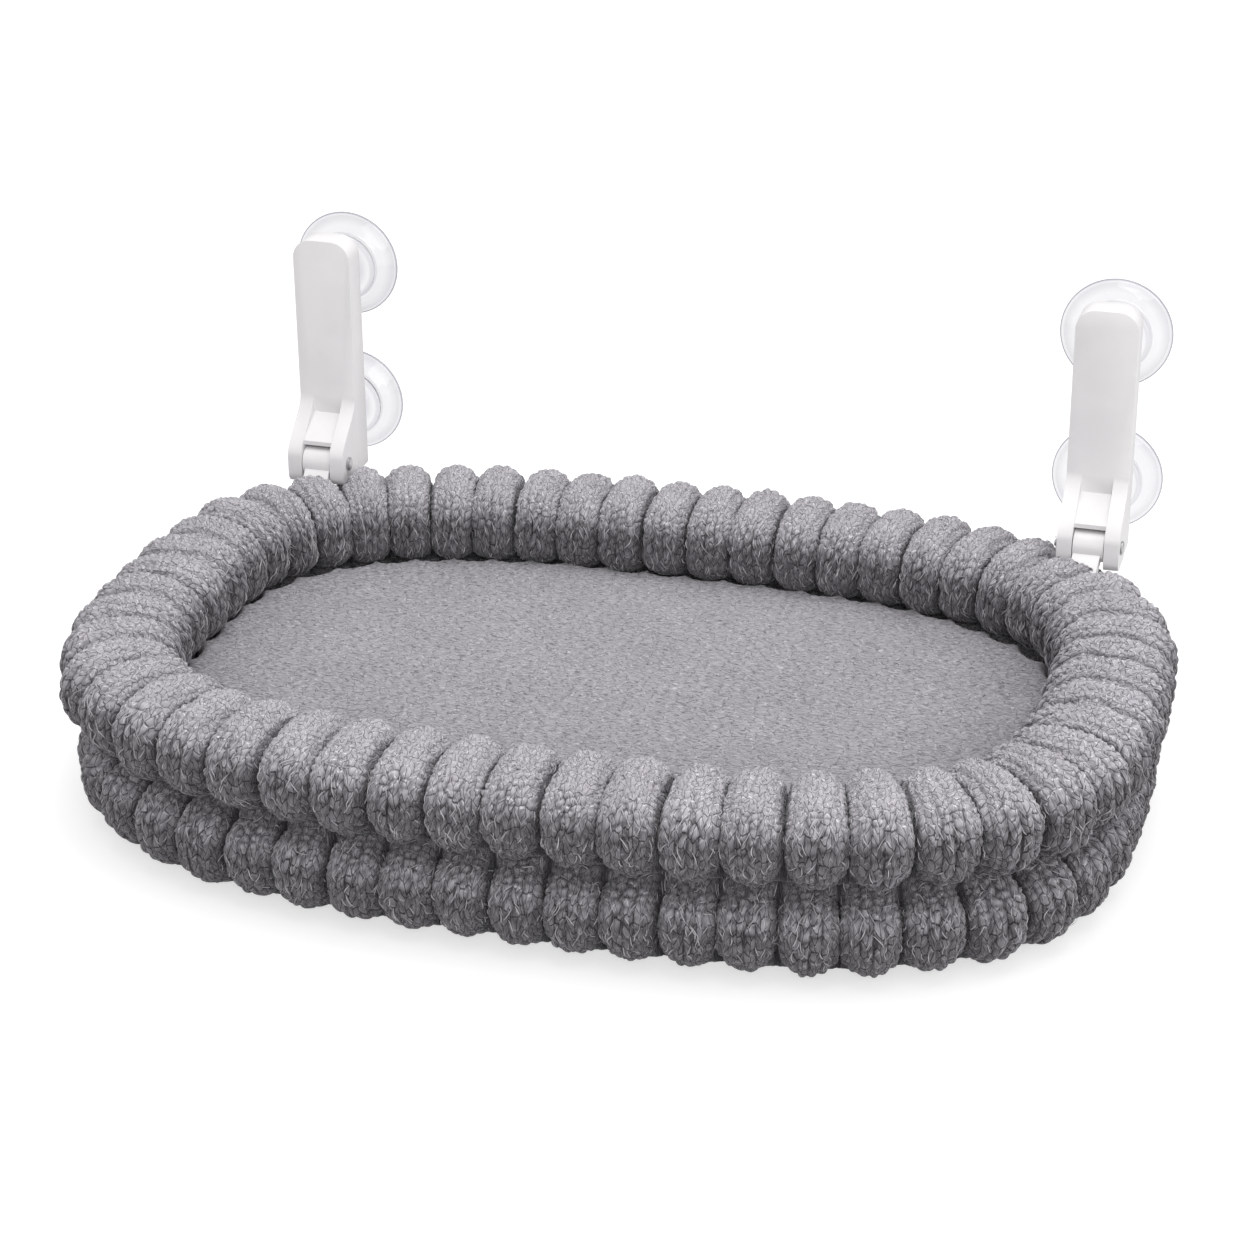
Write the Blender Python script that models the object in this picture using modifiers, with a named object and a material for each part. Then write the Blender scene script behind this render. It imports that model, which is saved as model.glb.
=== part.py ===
# Cat window bed. An oval steel tube runs inside the upper of two channelled plush bolsters, a
# pad lies on a board between them, and two brackets with suction cups fold down on hinge pins.
# Metres. +X runs along the window, +Y points at the glass, +Z is up, and the bed stands on z = 0.
import math

import bmesh
import bpy
import numpy as np
from mathutils import Matrix, Vector

# Bed outline, a superellipse
bed_length = 0.560
bed_depth = 0.390
outline_power = 2.85
glass_gap = 0.003  # from the bed's back edge to the glass

# Bolsters
bolster_width = 0.064
bolster_height = 0.049
groove_depth = 0.006
coil_count = 53
section_sides = 8
lower_inset = 0.006  # how much smaller the lower ring is, all round
floor_cut = 0.0005

# Frame tube, its joiners and the bore that holds them
tube_radius = 0.006
tube_end_gap = 0.001
bend_count = 24
joiner_length = 0.044
joiner_wall = 0.0015

# Floor of the nest
cover_thickness = 0.0015
board_thickness = 0.004
pad_thickness = 0.021
pad_crown = 0.003
pad_bulge = 0.007
pad_swell_power = 0.8
cover_height = 0.0315
edge_count = 44
outline_samples = 720
pad_side_shares = (0.0, 0.25, 0.5, 0.75, 0.92, 1.0)
pad_top_shares = (0.97, 0.86, 0.62)

# Brackets, from the hinge pin
bracket_spacing = 0.436
bracket_width = 0.033
bracket_top = 0.125
bracket_drop = 0.0115
bracket_corner = 0.0105
foot_corner = 0.002
casing_depth = 0.016
casing_wall = 0.0022
casing_edge = 0.0012
pin_height = 0.099
pin_to_face = 0.014
face_to_glass = 0.040

# Hinge cheeks, the web between them and the arm that they hold
cheek_thickness = 0.008
cheek_reach = 0.009
cheek_top = 0.034
cheek_nose = 0.0045
nose_radius = 0.0055
cheek_steps = 18
nose_steps = 6
web_crease = 0.0247
web_edge_height = 0.0104
web_edge_reach = 0.0035
web_thickness = 0.0024
knuckle_radius = 0.0085
shank_thickness = 0.0072
shank_width = 0.0144
heel_height = 0.007
heel_drop = 0.0075
barrel_wall = 0.003
barrel_length = 0.016

# Pin and its push-on retainer
pin_radius = 0.0025
pin_head_radius = 0.0038
pin_head_thickness = 0.0012
pin_tail = 0.0018
pin_crown_share = 0.7
retainer_radius = 0.0043
retainer_thickness = 0.0008

# Suction cups
cup_radius = 0.030
cup_rim_width = 0.003
cup_rim_thickness = 0.0010
cup_dish = 0.0038
cup_dish_shares = ((0.70, 0.66), (0.35, 0.94))  # (radius, depth) between rim and centre
cup_cone_height = 0.0065
cup_hub_radius = 0.019
cup_hub_height = 0.0100
cup_boss_radius = 0.009
cup_neck_radius = 0.005
cup_head_radius = 0.008
cup_head_thickness = 0.003
upper_cup_rise = 0.100
lower_cup_rise = 0.018
cup_steps = 32

# Casing screws
screw_radius = 0.0014
screw_head_radius = 0.0028
screw_head_height = 0.0016
screw_length = 0.0085
screw_post_radius = 0.0034
side_hole_radius = 0.0006  # in the casing's +X side, beside the pin
side_hole_depth = 0.0148
side_hole_run = 0.0018
side_hole_drop = 0.0052
upper_screw_rise = 0.076
lower_screw_rise = 0.042

# Clearances and the overrun that every cut shares
seat_gap = 0.0003
running_gap = 0.0004
soft_gap = 0.0006
fold_gap = 0.0006
notch_margin = 0.003
overrun = 0.002
weld_distance = 0.000001
round_steps = 16
knuckle_steps = 32
corner_steps = 8
smooth_angle = math.radians(32)

# Places that follow from the sizes
bed_centre = -glass_gap / 2
glass_plane = (bed_depth + glass_gap) / 2
pin_to_glass = pin_to_face + face_to_glass
pin_depth = glass_plane - pin_to_glass
bolster_reach = bolster_width / 2
bolster_rise = bolster_height / 2
lower_centre = bolster_rise - floor_cut
upper_centre = lower_centre + bolster_height + seat_gap
lower_ring_inset = lower_inset + bolster_reach
barrel_radius = tube_radius + barrel_wall
gap_half = bracket_width / 2 - cheek_thickness
casing_back = pin_to_face + casing_depth
side_signs = {"left": -1, "right": 1}
half_turn = math.pi
quarter_turn = math.pi / 2

colours = {
    "plush": (0.235, 0.230, 0.240, 1.0),
    "pad": (0.275, 0.270, 0.280, 1.0),
    "cover": (0.180, 0.178, 0.185, 1.0),
    "board": (0.420, 0.310, 0.210, 1.0),
    "steel": (0.560, 0.560, 0.570, 1.0),
    "plastic": (0.800, 0.790, 0.790, 1.0),
    "clear": (0.850, 0.860, 0.880, 1.0),
}


def circumscribed(radius, sides):
    # A polygon of this radius holds a circle of the given one.
    return radius / math.cos(half_turn / sides)


def clear_scene():
    for item in list(bpy.data.objects):
        bpy.data.objects.remove(item, do_unlink=True)


def new_collection(name):
    group = bpy.data.collections.new(name)
    bpy.context.scene.collection.children.link(group)
    return group


def link(mesh, name, group):
    piece = bpy.data.objects.new(name, mesh)
    group.objects.link(piece)
    return piece


def finish_mesh(mesh):
    # Welds loose caps, turns the faces outward and shades the round ones smooth.
    work = bmesh.new()
    work.from_mesh(mesh)
    bmesh.ops.remove_doubles(work, verts=work.verts, dist=weld_distance)
    bmesh.ops.recalc_face_normals(work, faces=work.faces)
    work.to_mesh(mesh)
    work.free()
    mesh.shade_smooth()
    mesh.set_sharp_from_angle(angle=smooth_angle)
    return mesh


def baked(piece, matrix=None):
    # Turns an object with its modifiers into a plain mesh and removes the object.
    bpy.context.view_layer.update()
    graph = bpy.context.evaluated_depsgraph_get()
    mesh = bpy.data.meshes.new_from_object(piece.evaluated_get(graph))
    mesh.transform(matrix if matrix is not None else piece.matrix_world)
    bpy.data.objects.remove(piece, do_unlink=True)
    return finish_mesh(mesh)


def cut(piece, cutter, operation="DIFFERENCE"):
    cutter.hide_render = True
    cutter.display_type = "WIRE"
    change = piece.modifiers.new(operation.lower() + "_" + cutter.name, "BOOLEAN")
    change.operation = operation
    change.solver = "EXACT"
    change.object = cutter


def loft(loops, closed_ring):
    # A skin over equal loops of points. A ring of loops joins its last to its first.
    loop_count, point_count = loops.shape[:2]
    spans = loop_count if closed_ring else loop_count - 1
    faces = []
    for row in range(spans):
        here = row * point_count
        there = (row + 1) % loop_count * point_count
        for column in range(point_count):
            beside = (column + 1) % point_count
            faces.append((here + column, here + beside, there + beside, there + column))
    if not closed_ring:
        last = (loop_count - 1) * point_count
        faces.append(tuple(range(point_count)))
        faces.append(tuple(range(last, last + point_count)))
    mesh = bpy.data.meshes.new("loft")
    mesh.from_pydata(loops.reshape(-1, 3).tolist(), [], faces)
    return finish_mesh(mesh)


def turned(profile, steps, matrix):
    # Turns a profile of (radius, height) points about Z. It runs down the outer side.
    mesh = bpy.data.meshes.new("profile")
    points = [(radius, 0, height) for radius, height in profile]
    on_axis = profile[0][0] == 0 and profile[-1][0] == 0
    links = [(n, n + 1) for n in range(len(points) - 1)]
    if not on_axis:
        links.append((len(points) - 1, 0))
    mesh.from_pydata(points, links, [])
    piece = link(mesh, "turned", bpy.context.scene.collection)
    screw = piece.modifiers.new("turn", "SCREW")
    screw.steps = steps
    screw.render_steps = steps
    screw.use_merge_vertices = True
    screw.merge_threshold = weld_distance
    return baked(piece, matrix)


def extruded(outline, thickness, matrix):
    # A flat outline with half of its thickness to each side.
    curve = bpy.data.curves.new("outline", "CURVE")
    curve.dimensions = "2D"
    curve.fill_mode = "BOTH"
    curve.extrude = thickness / 2
    spline = curve.splines.new("POLY")
    spline.points.add(len(outline) - 1)
    for point, (across, along) in zip(spline.points, outline):
        point.co = (across, along, 0, 1)
    spline.use_cyclic_u = True
    return baked(link(curve, "outline", bpy.context.scene.collection), matrix)


def swept(route, radius, resolution, closed):
    # A round tube along a route of points.
    curve = bpy.data.curves.new("route", "CURVE")
    curve.dimensions = "3D"
    curve.bevel_depth = radius
    curve.bevel_resolution = resolution
    curve.use_fill_caps = not closed
    spline = curve.splines.new("POLY")
    spline.points.add(len(route) - 1)
    for point, place in zip(spline.points, route):
        point.co = (*place, 1)
    spline.use_cyclic_u = closed
    return baked(link(curve, "route", bpy.context.scene.collection))


def cylinder(radius, length, steps, matrix):
    # A cylinder along Z, centred on the matrix.
    work = bmesh.new()
    bmesh.ops.create_cone(work, cap_ends=True, segments=steps, radius1=radius, radius2=radius,
                          depth=length, matrix=matrix)
    mesh = bpy.data.meshes.new("cylinder")
    work.to_mesh(mesh)
    work.free()
    return mesh


def block(matrix):
    # A unit cube that the matrix scales, shears and places.
    work = bmesh.new()
    bmesh.ops.create_cube(work, size=1, matrix=matrix)
    mesh = bpy.data.meshes.new("block")
    work.to_mesh(mesh)
    work.free()
    return finish_mesh(mesh)


def box_matrix(low, high):
    low, high = Vector(low), Vector(high)
    return Matrix.Translation((low + high) / 2) @ Matrix.Diagonal((*(high - low), 1))


def along_x(place):
    return Matrix.Translation(place) @ Matrix.Rotation(quarter_turn, 4, "Y")


def make_materials():
    looks = {"plush": (0.95, 0), "pad": (0.95, 0), "cover": (0.9, 0), "board": (0.7, 0),
             "steel": (0.35, 1), "plastic": (0.4, 0), "clear": (0.12, 0)}
    made = {}
    for name, (roughness, metallic) in looks.items():
        material = bpy.data.materials.new(name)
        material.use_nodes = True
        shader = material.node_tree.nodes["Principled BSDF"]
        shader.inputs["Base Color"].default_value = colours[name]
        shader.inputs["Roughness"].default_value = roughness
        shader.inputs["Metallic"].default_value = metallic
        made[name] = material
    return made


def add_piece(name, mesh, look, group, parent=None):
    piece = link(mesh, name, group)
    material = materials[look].copy()
    material.name = name
    piece.data.materials.clear()
    piece.data.materials.append(material)
    if parent is not None:
        piece.parent = parent
    return piece


# Outline of the bed

def outline_points():
    # The superellipse by polar angle from the front centre, with its outward normals.
    turn = np.linspace(-quarter_turn, 3 * quarter_turn, outline_samples, endpoint=False)
    half = np.array([bed_length / 2, bed_depth / 2])
    way = np.stack([np.cos(turn), np.sin(turn)], 1)
    reach = (np.abs(way / half) ** outline_power).sum(1) ** (-1 / outline_power)
    point = way * reach[:, None]
    slope = np.sign(point) * np.abs(point / half) ** (outline_power - 1) / half
    return point, slope / np.linalg.norm(slope, axis=1)[:, None]


def stations(inset, count):
    # Places at equal lengths along the outline drawn in by the inset, and their normals.
    point, normal = outline_points()
    line = point - normal * inset
    step = np.linalg.norm(np.roll(line, -1, 0) - line, axis=1)
    travelled = np.concatenate([[0], np.cumsum(step)])
    wanted = np.arange(count) * travelled[-1] / count
    closed_line = np.vstack([line, line[:1]])
    closed_normal = np.vstack([normal, normal[:1]])
    place = np.stack([np.interp(wanted, travelled, closed_line[:, n]) for n in range(2)], 1)
    facing = np.stack([np.interp(wanted, travelled, closed_normal[:, n]) for n in range(2)], 1)
    return place, facing / np.linalg.norm(facing, axis=1)[:, None]


def bend_place(turn, inset):
    # The point whose outward normal has this angle, on the outline drawn in by the inset.
    half = np.array([bed_length / 2, bed_depth / 2])
    way = np.array([math.cos(turn), math.sin(turn)])
    pull = np.abs(half * way)
    spread = (pull ** (outline_power / (outline_power - 1))).sum() ** (1 / outline_power)
    return np.sign(way) * half * pull ** (1 / (outline_power - 1)) / spread - way * inset


def section():
    # One coil's cross-section as shares of its half width and half height, flat below.
    turn = -quarter_turn + (np.arange(section_sides) + 0.5) * 2 * half_turn / section_sides
    across, up = np.cos(turn), np.sin(turn)
    up = np.where(up < 0, up / -up.min(), up / up.max())
    return np.stack([across / across.max(), up], 1)


def bolster_wall(height):
    # Half the width of a coil at this height above its centre.
    shape = section()
    right = shape[shape[:, 0] > -weld_distance]
    order = np.argsort(right[:, 1])
    return bolster_reach * np.interp(height / bolster_rise, right[order, 1], right[order, 0])


def nest_wall(height):
    # How far the bolsters reach in from the bed's outline at this height.
    reach = 0
    for inset, centre in ((lower_ring_inset, lower_centre), (bolster_reach, upper_centre)):
        if abs(height - centre) < bolster_rise:
            reach = max(reach, inset + bolster_wall(height - centre))
    return reach


def bolster_mesh(inset, centre_height):
    # Coils and grooves take turns along the ring, with a groove at the front centre.
    place, normal = stations(inset, 2 * coil_count)
    groove = (np.arange(2 * coil_count) % 2 == 0) * groove_depth
    shape = section()
    across = shape[:, 0] * (bolster_reach - groove)[:, None]
    up = shape[:, 1] * (bolster_rise - groove)[:, None]
    loops = np.zeros((2 * coil_count, section_sides, 3))
    loops[..., :2] = place[:, None] + normal[:, None] * across[..., None]
    loops[..., 1] += bed_centre
    loops[..., 2] = centre_height + up
    return loft(loops, True)


def plate_outline(inset):
    place, _ = stations(inset, edge_count)
    return place


def plate_mesh(inset, bottom, thickness):
    middle = Matrix.Translation((0, bed_centre, bottom + thickness / 2))
    return extruded(plate_outline(inset).tolist(), thickness, middle)


def pad_mesh(bottom, inset):
    # Its sides swell between the two bolsters and its top rises to a crown.
    loops = []
    side_rise = pad_thickness - pad_crown
    for share in pad_side_shares:
        height = bottom + side_rise * share
        swollen = inset - pad_bulge * math.sin(half_turn * share) ** pad_swell_power
        place, _ = stations(max(swollen, nest_wall(height) + soft_gap), edge_count)
        loops.append((place, height))
    edge, _ = stations(inset, edge_count)
    for share in pad_top_shares:
        lift = pad_crown * (1 - share ** 4)
        loops.append((edge * share, bottom + side_rise + lift))
    cage = np.zeros((len(loops), edge_count, 3))
    for row, (place, height) in enumerate(loops):
        cage[row, :, :2] = place
        cage[row, :, 1] += bed_centre
        cage[row, :, 2] = height
    return loft(cage, False)


# Frame tube

def frame_route(first, last):
    # Corners of the bent tube between two bends, in the middle of the upper bolster.
    step = 2 * half_turn / bend_count
    route = []
    for number in range(first, last):
        x, y = bend_place((number + 0.5) * step - quarter_turn, bolster_reach)
        route.append((x, y + bed_centre, upper_centre))
    return route


def frame_half(sign):
    half = frame_route(0, bend_count // 2)
    front = (tube_end_gap / 2, half[0][1], upper_centre)
    back = (tube_end_gap / 2, half[-1][1], upper_centre)
    route = [(sign * x, y, z) for x, y, z in [front, *half, back]]
    return swept(route, tube_radius, 2, False)


def frame_bore():
    return swept(frame_route(0, bend_count), circumscribed(tube_radius + soft_gap, 6), 1, True)


def joiner_place(number):
    # Middle of the straight run of tube at the front (0) or the back (1).
    route = frame_route(0, bend_count)
    y = route[0 if number == 0 else bend_count // 2][1]
    return Vector((0, y, upper_centre))


def joiner_mesh(number):
    outer = tube_radius + seat_gap + joiner_wall
    inner = circumscribed(tube_radius + seat_gap, round_steps)
    half = joiner_length / 2
    profile = [(inner, half), (outer, half), (outer, -half), (inner, -half)]
    return turned(profile, round_steps, along_x(joiner_place(number)))


# Hinge arm

def arm_frame(sign):
    # The barrel sits on the straight run of tube nearest to the bracket.
    step = 2 * half_turn / bend_count
    number = min(range(1, bend_count // 4), key=lambda n: abs(
        bend_place(n * step, bolster_reach)[0] - bracket_spacing / 2))
    start = bend_place((number - 0.5) * step, bolster_reach)
    end = bend_place((number + 0.5) * step, bolster_reach)
    middle = (start + end) / 2
    run = (end - start) / np.linalg.norm(end - start)
    place = Vector((sign * middle[0], middle[1] + bed_centre, upper_centre))
    return place, Vector((sign * run[0], run[1], 0))


def barrel_matrix(sign):
    place, run = arm_frame(sign)
    return Matrix.Translation(place) @ run.to_track_quat("Z", "Y").to_matrix().to_4x4()


def shank_matrix(sign, margin):
    # A sheared block from the pin into the barrel's wall. Its columns are its width,
    # thickness and run.
    pin = pin_place(sign)
    place, _ = arm_frame(sign)
    run = place - pin
    run -= run.normalized() * (tube_radius + barrel_wall / 2)
    across = Vector((1, 0, 0))
    thick = across.cross(run).normalized()
    matrix = Matrix.Translation(pin + run / 2)
    for column, side in enumerate((across * (shank_width + 2 * margin),
                                   thick * (shank_thickness + 2 * margin), run)):
        for row in range(3):
            matrix[row][column] = side[row]
    return matrix


def pin_place(sign):
    return Vector((sign * bracket_spacing / 2, pin_depth, pin_height))


def arm_mesh(sign):
    pin = pin_place(sign)
    width = 2 * (gap_half - running_gap)
    knuckle = link(cylinder(knuckle_radius, width, knuckle_steps, along_x(pin)),
                   "arm_stock", cutters)
    heel = block(box_matrix(pin + Vector((-width / 2, 0, -heel_drop)),
                            pin + Vector((width / 2, pin_to_face - seat_gap,
                                          heel_height - heel_drop))))
    shank = block(shank_matrix(sign, 0))
    barrel = cylinder(barrel_radius, barrel_length, round_steps, barrel_matrix(sign))
    for name, mesh in (("heel", heel), ("shank", shank), ("barrel", barrel)):
        cut(knuckle, link(mesh, "arm_" + name + str(sign), cutters), "UNION")
    pin_hole = cylinder(circumscribed(pin_radius + seat_gap, round_steps), width + overrun,
                        round_steps, along_x(pin))
    tube_hole = cylinder(circumscribed(tube_radius + seat_gap, round_steps),
                         barrel_length + 4 * overrun, round_steps, barrel_matrix(sign))
    for name, mesh in (("pin_hole", pin_hole), ("tube_hole", tube_hole)):
        cut(knuckle, link(mesh, "arm_" + name + str(sign), cutters))
    return baked(knuckle)


def bolster_cutters(sign):
    # Room in the upper bolster for the folding cheeks, the arm and its barrel.
    pin = pin_place(sign)
    swing = circumscribed(cheek_swing() + fold_gap, 12)
    notch = cylinder(swing, bracket_width + 2 * notch_margin, 12, along_x(pin))
    slot = block(shank_matrix(sign, soft_gap))
    pocket = cylinder(circumscribed(barrel_radius + soft_gap, 10),
                      barrel_length + 2 * soft_gap, 10, barrel_matrix(sign))
    reach = bracket_width / 2 + notch_margin
    foot = block(box_matrix(pin + Vector((-reach, 0, -bracket_drop - fold_gap)),
                            pin + Vector((reach, casing_back + fold_gap, bolster_height))))
    return {"notch": notch, "foot": foot, "slot": slot, "pocket": pocket}


# Bracket, about its pin

def rounded_outline(half_width, low, high, low_radius, high_radius):
    # A rectangle with an arc at each corner, anticlockwise from the lower right.
    corners = ((1, low, low_radius, -1), (1, high, high_radius, 1),
               (-1, high, high_radius, 1), (-1, low, low_radius, -1))
    points = []
    for number, (side, level, radius, upward) in enumerate(corners):
        centre = (side * (half_width - radius), level - upward * radius)
        start = (number - 1) * quarter_turn
        for step in range(corner_steps + 1):
            turn = start + quarter_turn * step / corner_steps
            points.append((centre[0] + radius * math.cos(turn),
                           centre[1] + radius * math.sin(turn)))
    return points


def upright(front, thickness):
    # Stands an outline drawn in X and Y up in X and Z, from its front plane backward.
    return (Matrix.Translation((0, front + thickness / 2, 0))
            @ Matrix.Rotation(quarter_turn, 4, "X"))


def casing_mesh(margin, front, thickness):
    outline = rounded_outline(bracket_width / 2 - margin, margin - bracket_drop,
                              bracket_top - margin, foot_corner,
                              bracket_corner - min(margin, foot_corner))
    return extruded(outline, thickness, upright(front, thickness))


def cheek_outline():
    # Side view as (y, z) about the pin: an S from the casing's face out to the nose, whose
    # straight front turns under to the foot.
    points = []
    for step in range(cheek_steps + 1):
        share = step / cheek_steps
        ease = share * share * (3 - 2 * share)
        points.append((pin_to_face - (pin_to_face + cheek_reach) * ease,
                       cheek_top * (1 - share) + cheek_nose * share))
    for step in range(nose_steps + 1):
        turn = half_turn + quarter_turn * step / nose_steps
        points.append((nose_radius * (1 + math.cos(turn)) - cheek_reach,
                       nose_radius * (1 + math.sin(turn)) - bracket_drop))
    points.append((pin_to_face + casing_wall / 2, -bracket_drop))
    points.append((pin_to_face + casing_wall / 2, cheek_top))
    return points


def cheek_swing():
    # Longest reach from the pin among the points that dip beside the bolster when folded.
    sunk = [math.hypot(y, z) for y, z in cheek_outline() if y < 0]
    return max(sunk)


def side_matrix(low, high):
    # Lays an outline drawn in X and Y into Y and Z, between two places across.
    return Matrix(((0, 0, 1, (low + high) / 2), (1, 0, 0, 0), (0, 1, 0, 0), (0, 0, 0, 1)))


def shell_mesh():
    shell = link(casing_mesh(0, pin_to_face, casing_depth), "shell_stock", cutters)
    edge = shell.modifiers.new("edge", "BEVEL")
    edge.width = casing_edge
    edge.segments = 2
    edge.angle_limit = math.radians(60)
    half = bracket_width / 2
    for number, (low, high) in enumerate(((-half, -gap_half), (gap_half, half))):
        cheek = extruded(cheek_outline(), high - low, side_matrix(low, high))
        cut(shell, link(cheek, "shell_cheek" + str(number), cutters), "UNION")
    web = [(pin_to_face + casing_wall / 2, web_crease),
           (-web_edge_reach, web_edge_height + web_thickness),
           (-web_edge_reach, web_edge_height),
           (pin_to_face + casing_wall / 2, web_crease - 2 * web_thickness)]
    reach = gap_half + cheek_thickness / 4
    cut(shell, link(extruded(web, 2 * reach, side_matrix(-reach, reach)), "shell_web", cutters),
        "UNION")
    cavity = casing_mesh(casing_wall, pin_to_face + casing_wall, casing_depth)
    cut(shell, link(cavity, "shell_cavity", cutters))
    post_front = pin_to_face + casing_wall / 2
    post_back = casing_back - casing_wall - seat_gap
    for name, rise in (("upper", upper_screw_rise), ("lower", lower_screw_rise)):
        post = cylinder(screw_post_radius, post_back - post_front, round_steps,
                        upright_axis((post_front + post_back) / 2, rise))
        cut(shell, link(post, "shell_post_" + name, cutters), "UNION")
    for name, rise in (("upper", upper_screw_rise), ("lower", lower_screw_rise)):
        depth = screw_length + screw_radius + seat_gap
        pilot = cylinder(circumscribed(screw_radius + seat_gap, 10), depth + overrun, 10,
                         upright_axis(casing_back + (overrun - depth) / 2, rise))
        cut(shell, link(pilot, "shell_pilot_" + name, cutters))
    pin_hole = cylinder(circumscribed(pin_radius + seat_gap, round_steps),
                        bracket_width + overrun, round_steps, along_x((0, 0, 0)))
    cut(shell, link(pin_hole, "shell_pin_hole", cutters))
    side_hole = cylinder(side_hole_radius, 2 * side_hole_run, 8,
                         along_x((half, side_hole_depth, -side_hole_drop)))
    cut(shell, link(side_hole, "shell_side_hole", cutters))
    return baked(shell)


def upright_axis(depth, rise):
    # Lays an axis along Y at this depth and rise above the pin, top end to the front.
    return Matrix.Translation((0, depth, rise)) @ Matrix.Rotation(quarter_turn, 4, "X")


def back_mesh():
    margin = casing_wall + seat_gap
    plate = link(casing_mesh(margin, casing_back - casing_wall, casing_wall), "back_stock",
                 cutters)
    depth = casing_back - casing_wall / 2
    hole = circumscribed(cup_neck_radius + seat_gap, round_steps)
    for name, rise in (("upper_neck", upper_cup_rise), ("lower_neck", lower_cup_rise)):
        mesh = cylinder(hole, casing_wall + overrun, round_steps, upright_axis(depth, rise))
        cut(plate, link(mesh, "back_" + name, cutters))
    for name, rise in (("upper_seat", upper_screw_rise), ("lower_seat", lower_screw_rise)):
        wide = circumscribed(screw_head_radius + seat_gap, 12)
        narrow = circumscribed(screw_radius + seat_gap, 12)
        profile = [(0, overrun), (wide, overrun), (wide, 0), (narrow, -screw_head_height),
                   (narrow, -casing_wall - overrun), (0, -casing_wall - overrun)]
        mesh = turned(profile, 12, Matrix.Translation((0, casing_back, rise))
                      @ Matrix.Rotation(-quarter_turn, 4, "X"))
        cut(plate, link(mesh, "back_" + name, cutters))
    return baked(plate)


def screw_mesh(rise):
    # A countersunk screw, its head flush with the back plate and its tip in the post.
    profile = [(0, -seat_gap / 2), (screw_head_radius, -seat_gap / 2),
               (screw_radius, -screw_head_height), (screw_radius, -screw_length),
               (0, -screw_length - screw_radius)]
    return turned(profile, 10, Matrix.Translation((0, casing_back, rise))
                  @ Matrix.Rotation(-quarter_turn, 4, "X"))


def cup_mesh(rise):
    # Turned from the glass forward: dished foot, hub, boss, and a head snapped into the plate.
    plate_back = face_to_glass - casing_depth
    head = plate_back + casing_wall + seat_gap
    boss_end = plate_back - seat_gap
    inner_rim = cup_radius - cup_rim_width
    profile = [(0, head + cup_head_thickness),
               (cup_head_radius - cup_head_thickness / 3, head + cup_head_thickness),
               (cup_head_radius, head),
               (cup_neck_radius, head),
               (cup_neck_radius, boss_end),
               (cup_boss_radius, boss_end),
               (cup_boss_radius, cup_hub_height + cup_rim_thickness),
               (cup_hub_radius - cup_rim_thickness, cup_hub_height),
               (cup_hub_radius, cup_hub_height - cup_rim_thickness),
               (cup_hub_radius, cup_cone_height),
               (cup_radius, cup_rim_thickness),
               (cup_radius, 0),
               (inner_rim, 0)]
    profile += [(inner_rim * out, cup_dish * deep) for out, deep in cup_dish_shares]
    profile.append((0, cup_dish))
    return turned(profile, cup_steps, Matrix.Translation((0, pin_to_glass, rise))
                  @ Matrix.Rotation(quarter_turn, 4, "X"))


def pin_mesh():
    # Its head is on the +X side and its tail takes the retainer.
    face = bracket_width / 2 + seat_gap
    profile = [(0, face + pin_head_thickness),
               (pin_head_radius * pin_crown_share, face + pin_head_thickness),
               (pin_head_radius, face + pin_head_thickness / 2),
               (pin_head_radius, face),
               (pin_radius, face),
               (pin_radius, -face - pin_tail),
               (0, -face - pin_tail)]
    return turned(profile, round_steps, along_x((0, 0, 0)))


def retainer_mesh():
    inner = circumscribed(pin_radius + seat_gap, round_steps)
    near = -bracket_width / 2 - seat_gap
    profile = [(inner, near), (retainer_radius, near), (retainer_radius, near - retainer_thickness),
               (inner, near - retainer_thickness)]
    return turned(profile, round_steps, along_x((0, 0, 0)))


def build_bed(group):
    upper = add_piece("upper_bolster", bolster_mesh(bolster_reach, upper_centre), "plush", group)
    cut(upper, link(frame_bore(), "bore", cutters))
    for number in range(2):
        radius = circumscribed(tube_radius + seat_gap + joiner_wall + soft_gap, 10)
        pocket = cylinder(radius, joiner_length + 2 * soft_gap, 10, along_x(joiner_place(number)))
        cut(upper, link(pocket, "joiner_pocket" + str(number), cutters))
    for side, sign in side_signs.items():
        for name, mesh in bolster_cutters(sign).items():
            cut(upper, link(mesh, name + "_" + side, cutters))
    lower = add_piece("lower_bolster", bolster_mesh(lower_ring_inset, lower_centre), "plush", group)
    reach = bed_length + overrun
    below = block(box_matrix((-reach, -reach, -bolster_height), (reach, reach, 0)))
    cut(lower, link(below, "floor", cutters))

    board_height = cover_height + cover_thickness + seat_gap
    pad_height = board_height + board_thickness + seat_gap
    cover_inset = lower_ring_inset + bolster_wall(cover_height - lower_centre) + seat_gap
    board_inset = lower_ring_inset + bolster_wall(board_height - lower_centre) + seat_gap
    pad_inset = lower_ring_inset + bolster_wall(pad_height - lower_centre) + soft_gap
    add_piece("bottom_cover", plate_mesh(cover_inset, cover_height, cover_thickness), "cover",
              group)
    add_piece("base_board", plate_mesh(board_inset, board_height, board_thickness), "board",
              group)
    add_piece("bed_pad", pad_mesh(pad_height, pad_inset), "pad", group)
    for side, sign in side_signs.items():
        add_piece("frame_tube_" + side, frame_half(sign), "steel", group)
        add_piece("hinge_arm_" + side, arm_mesh(sign), "plastic", group)
    for number, name in enumerate(("front", "back")):
        add_piece("frame_joiner_" + name, joiner_mesh(number), "plastic", group)


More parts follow.
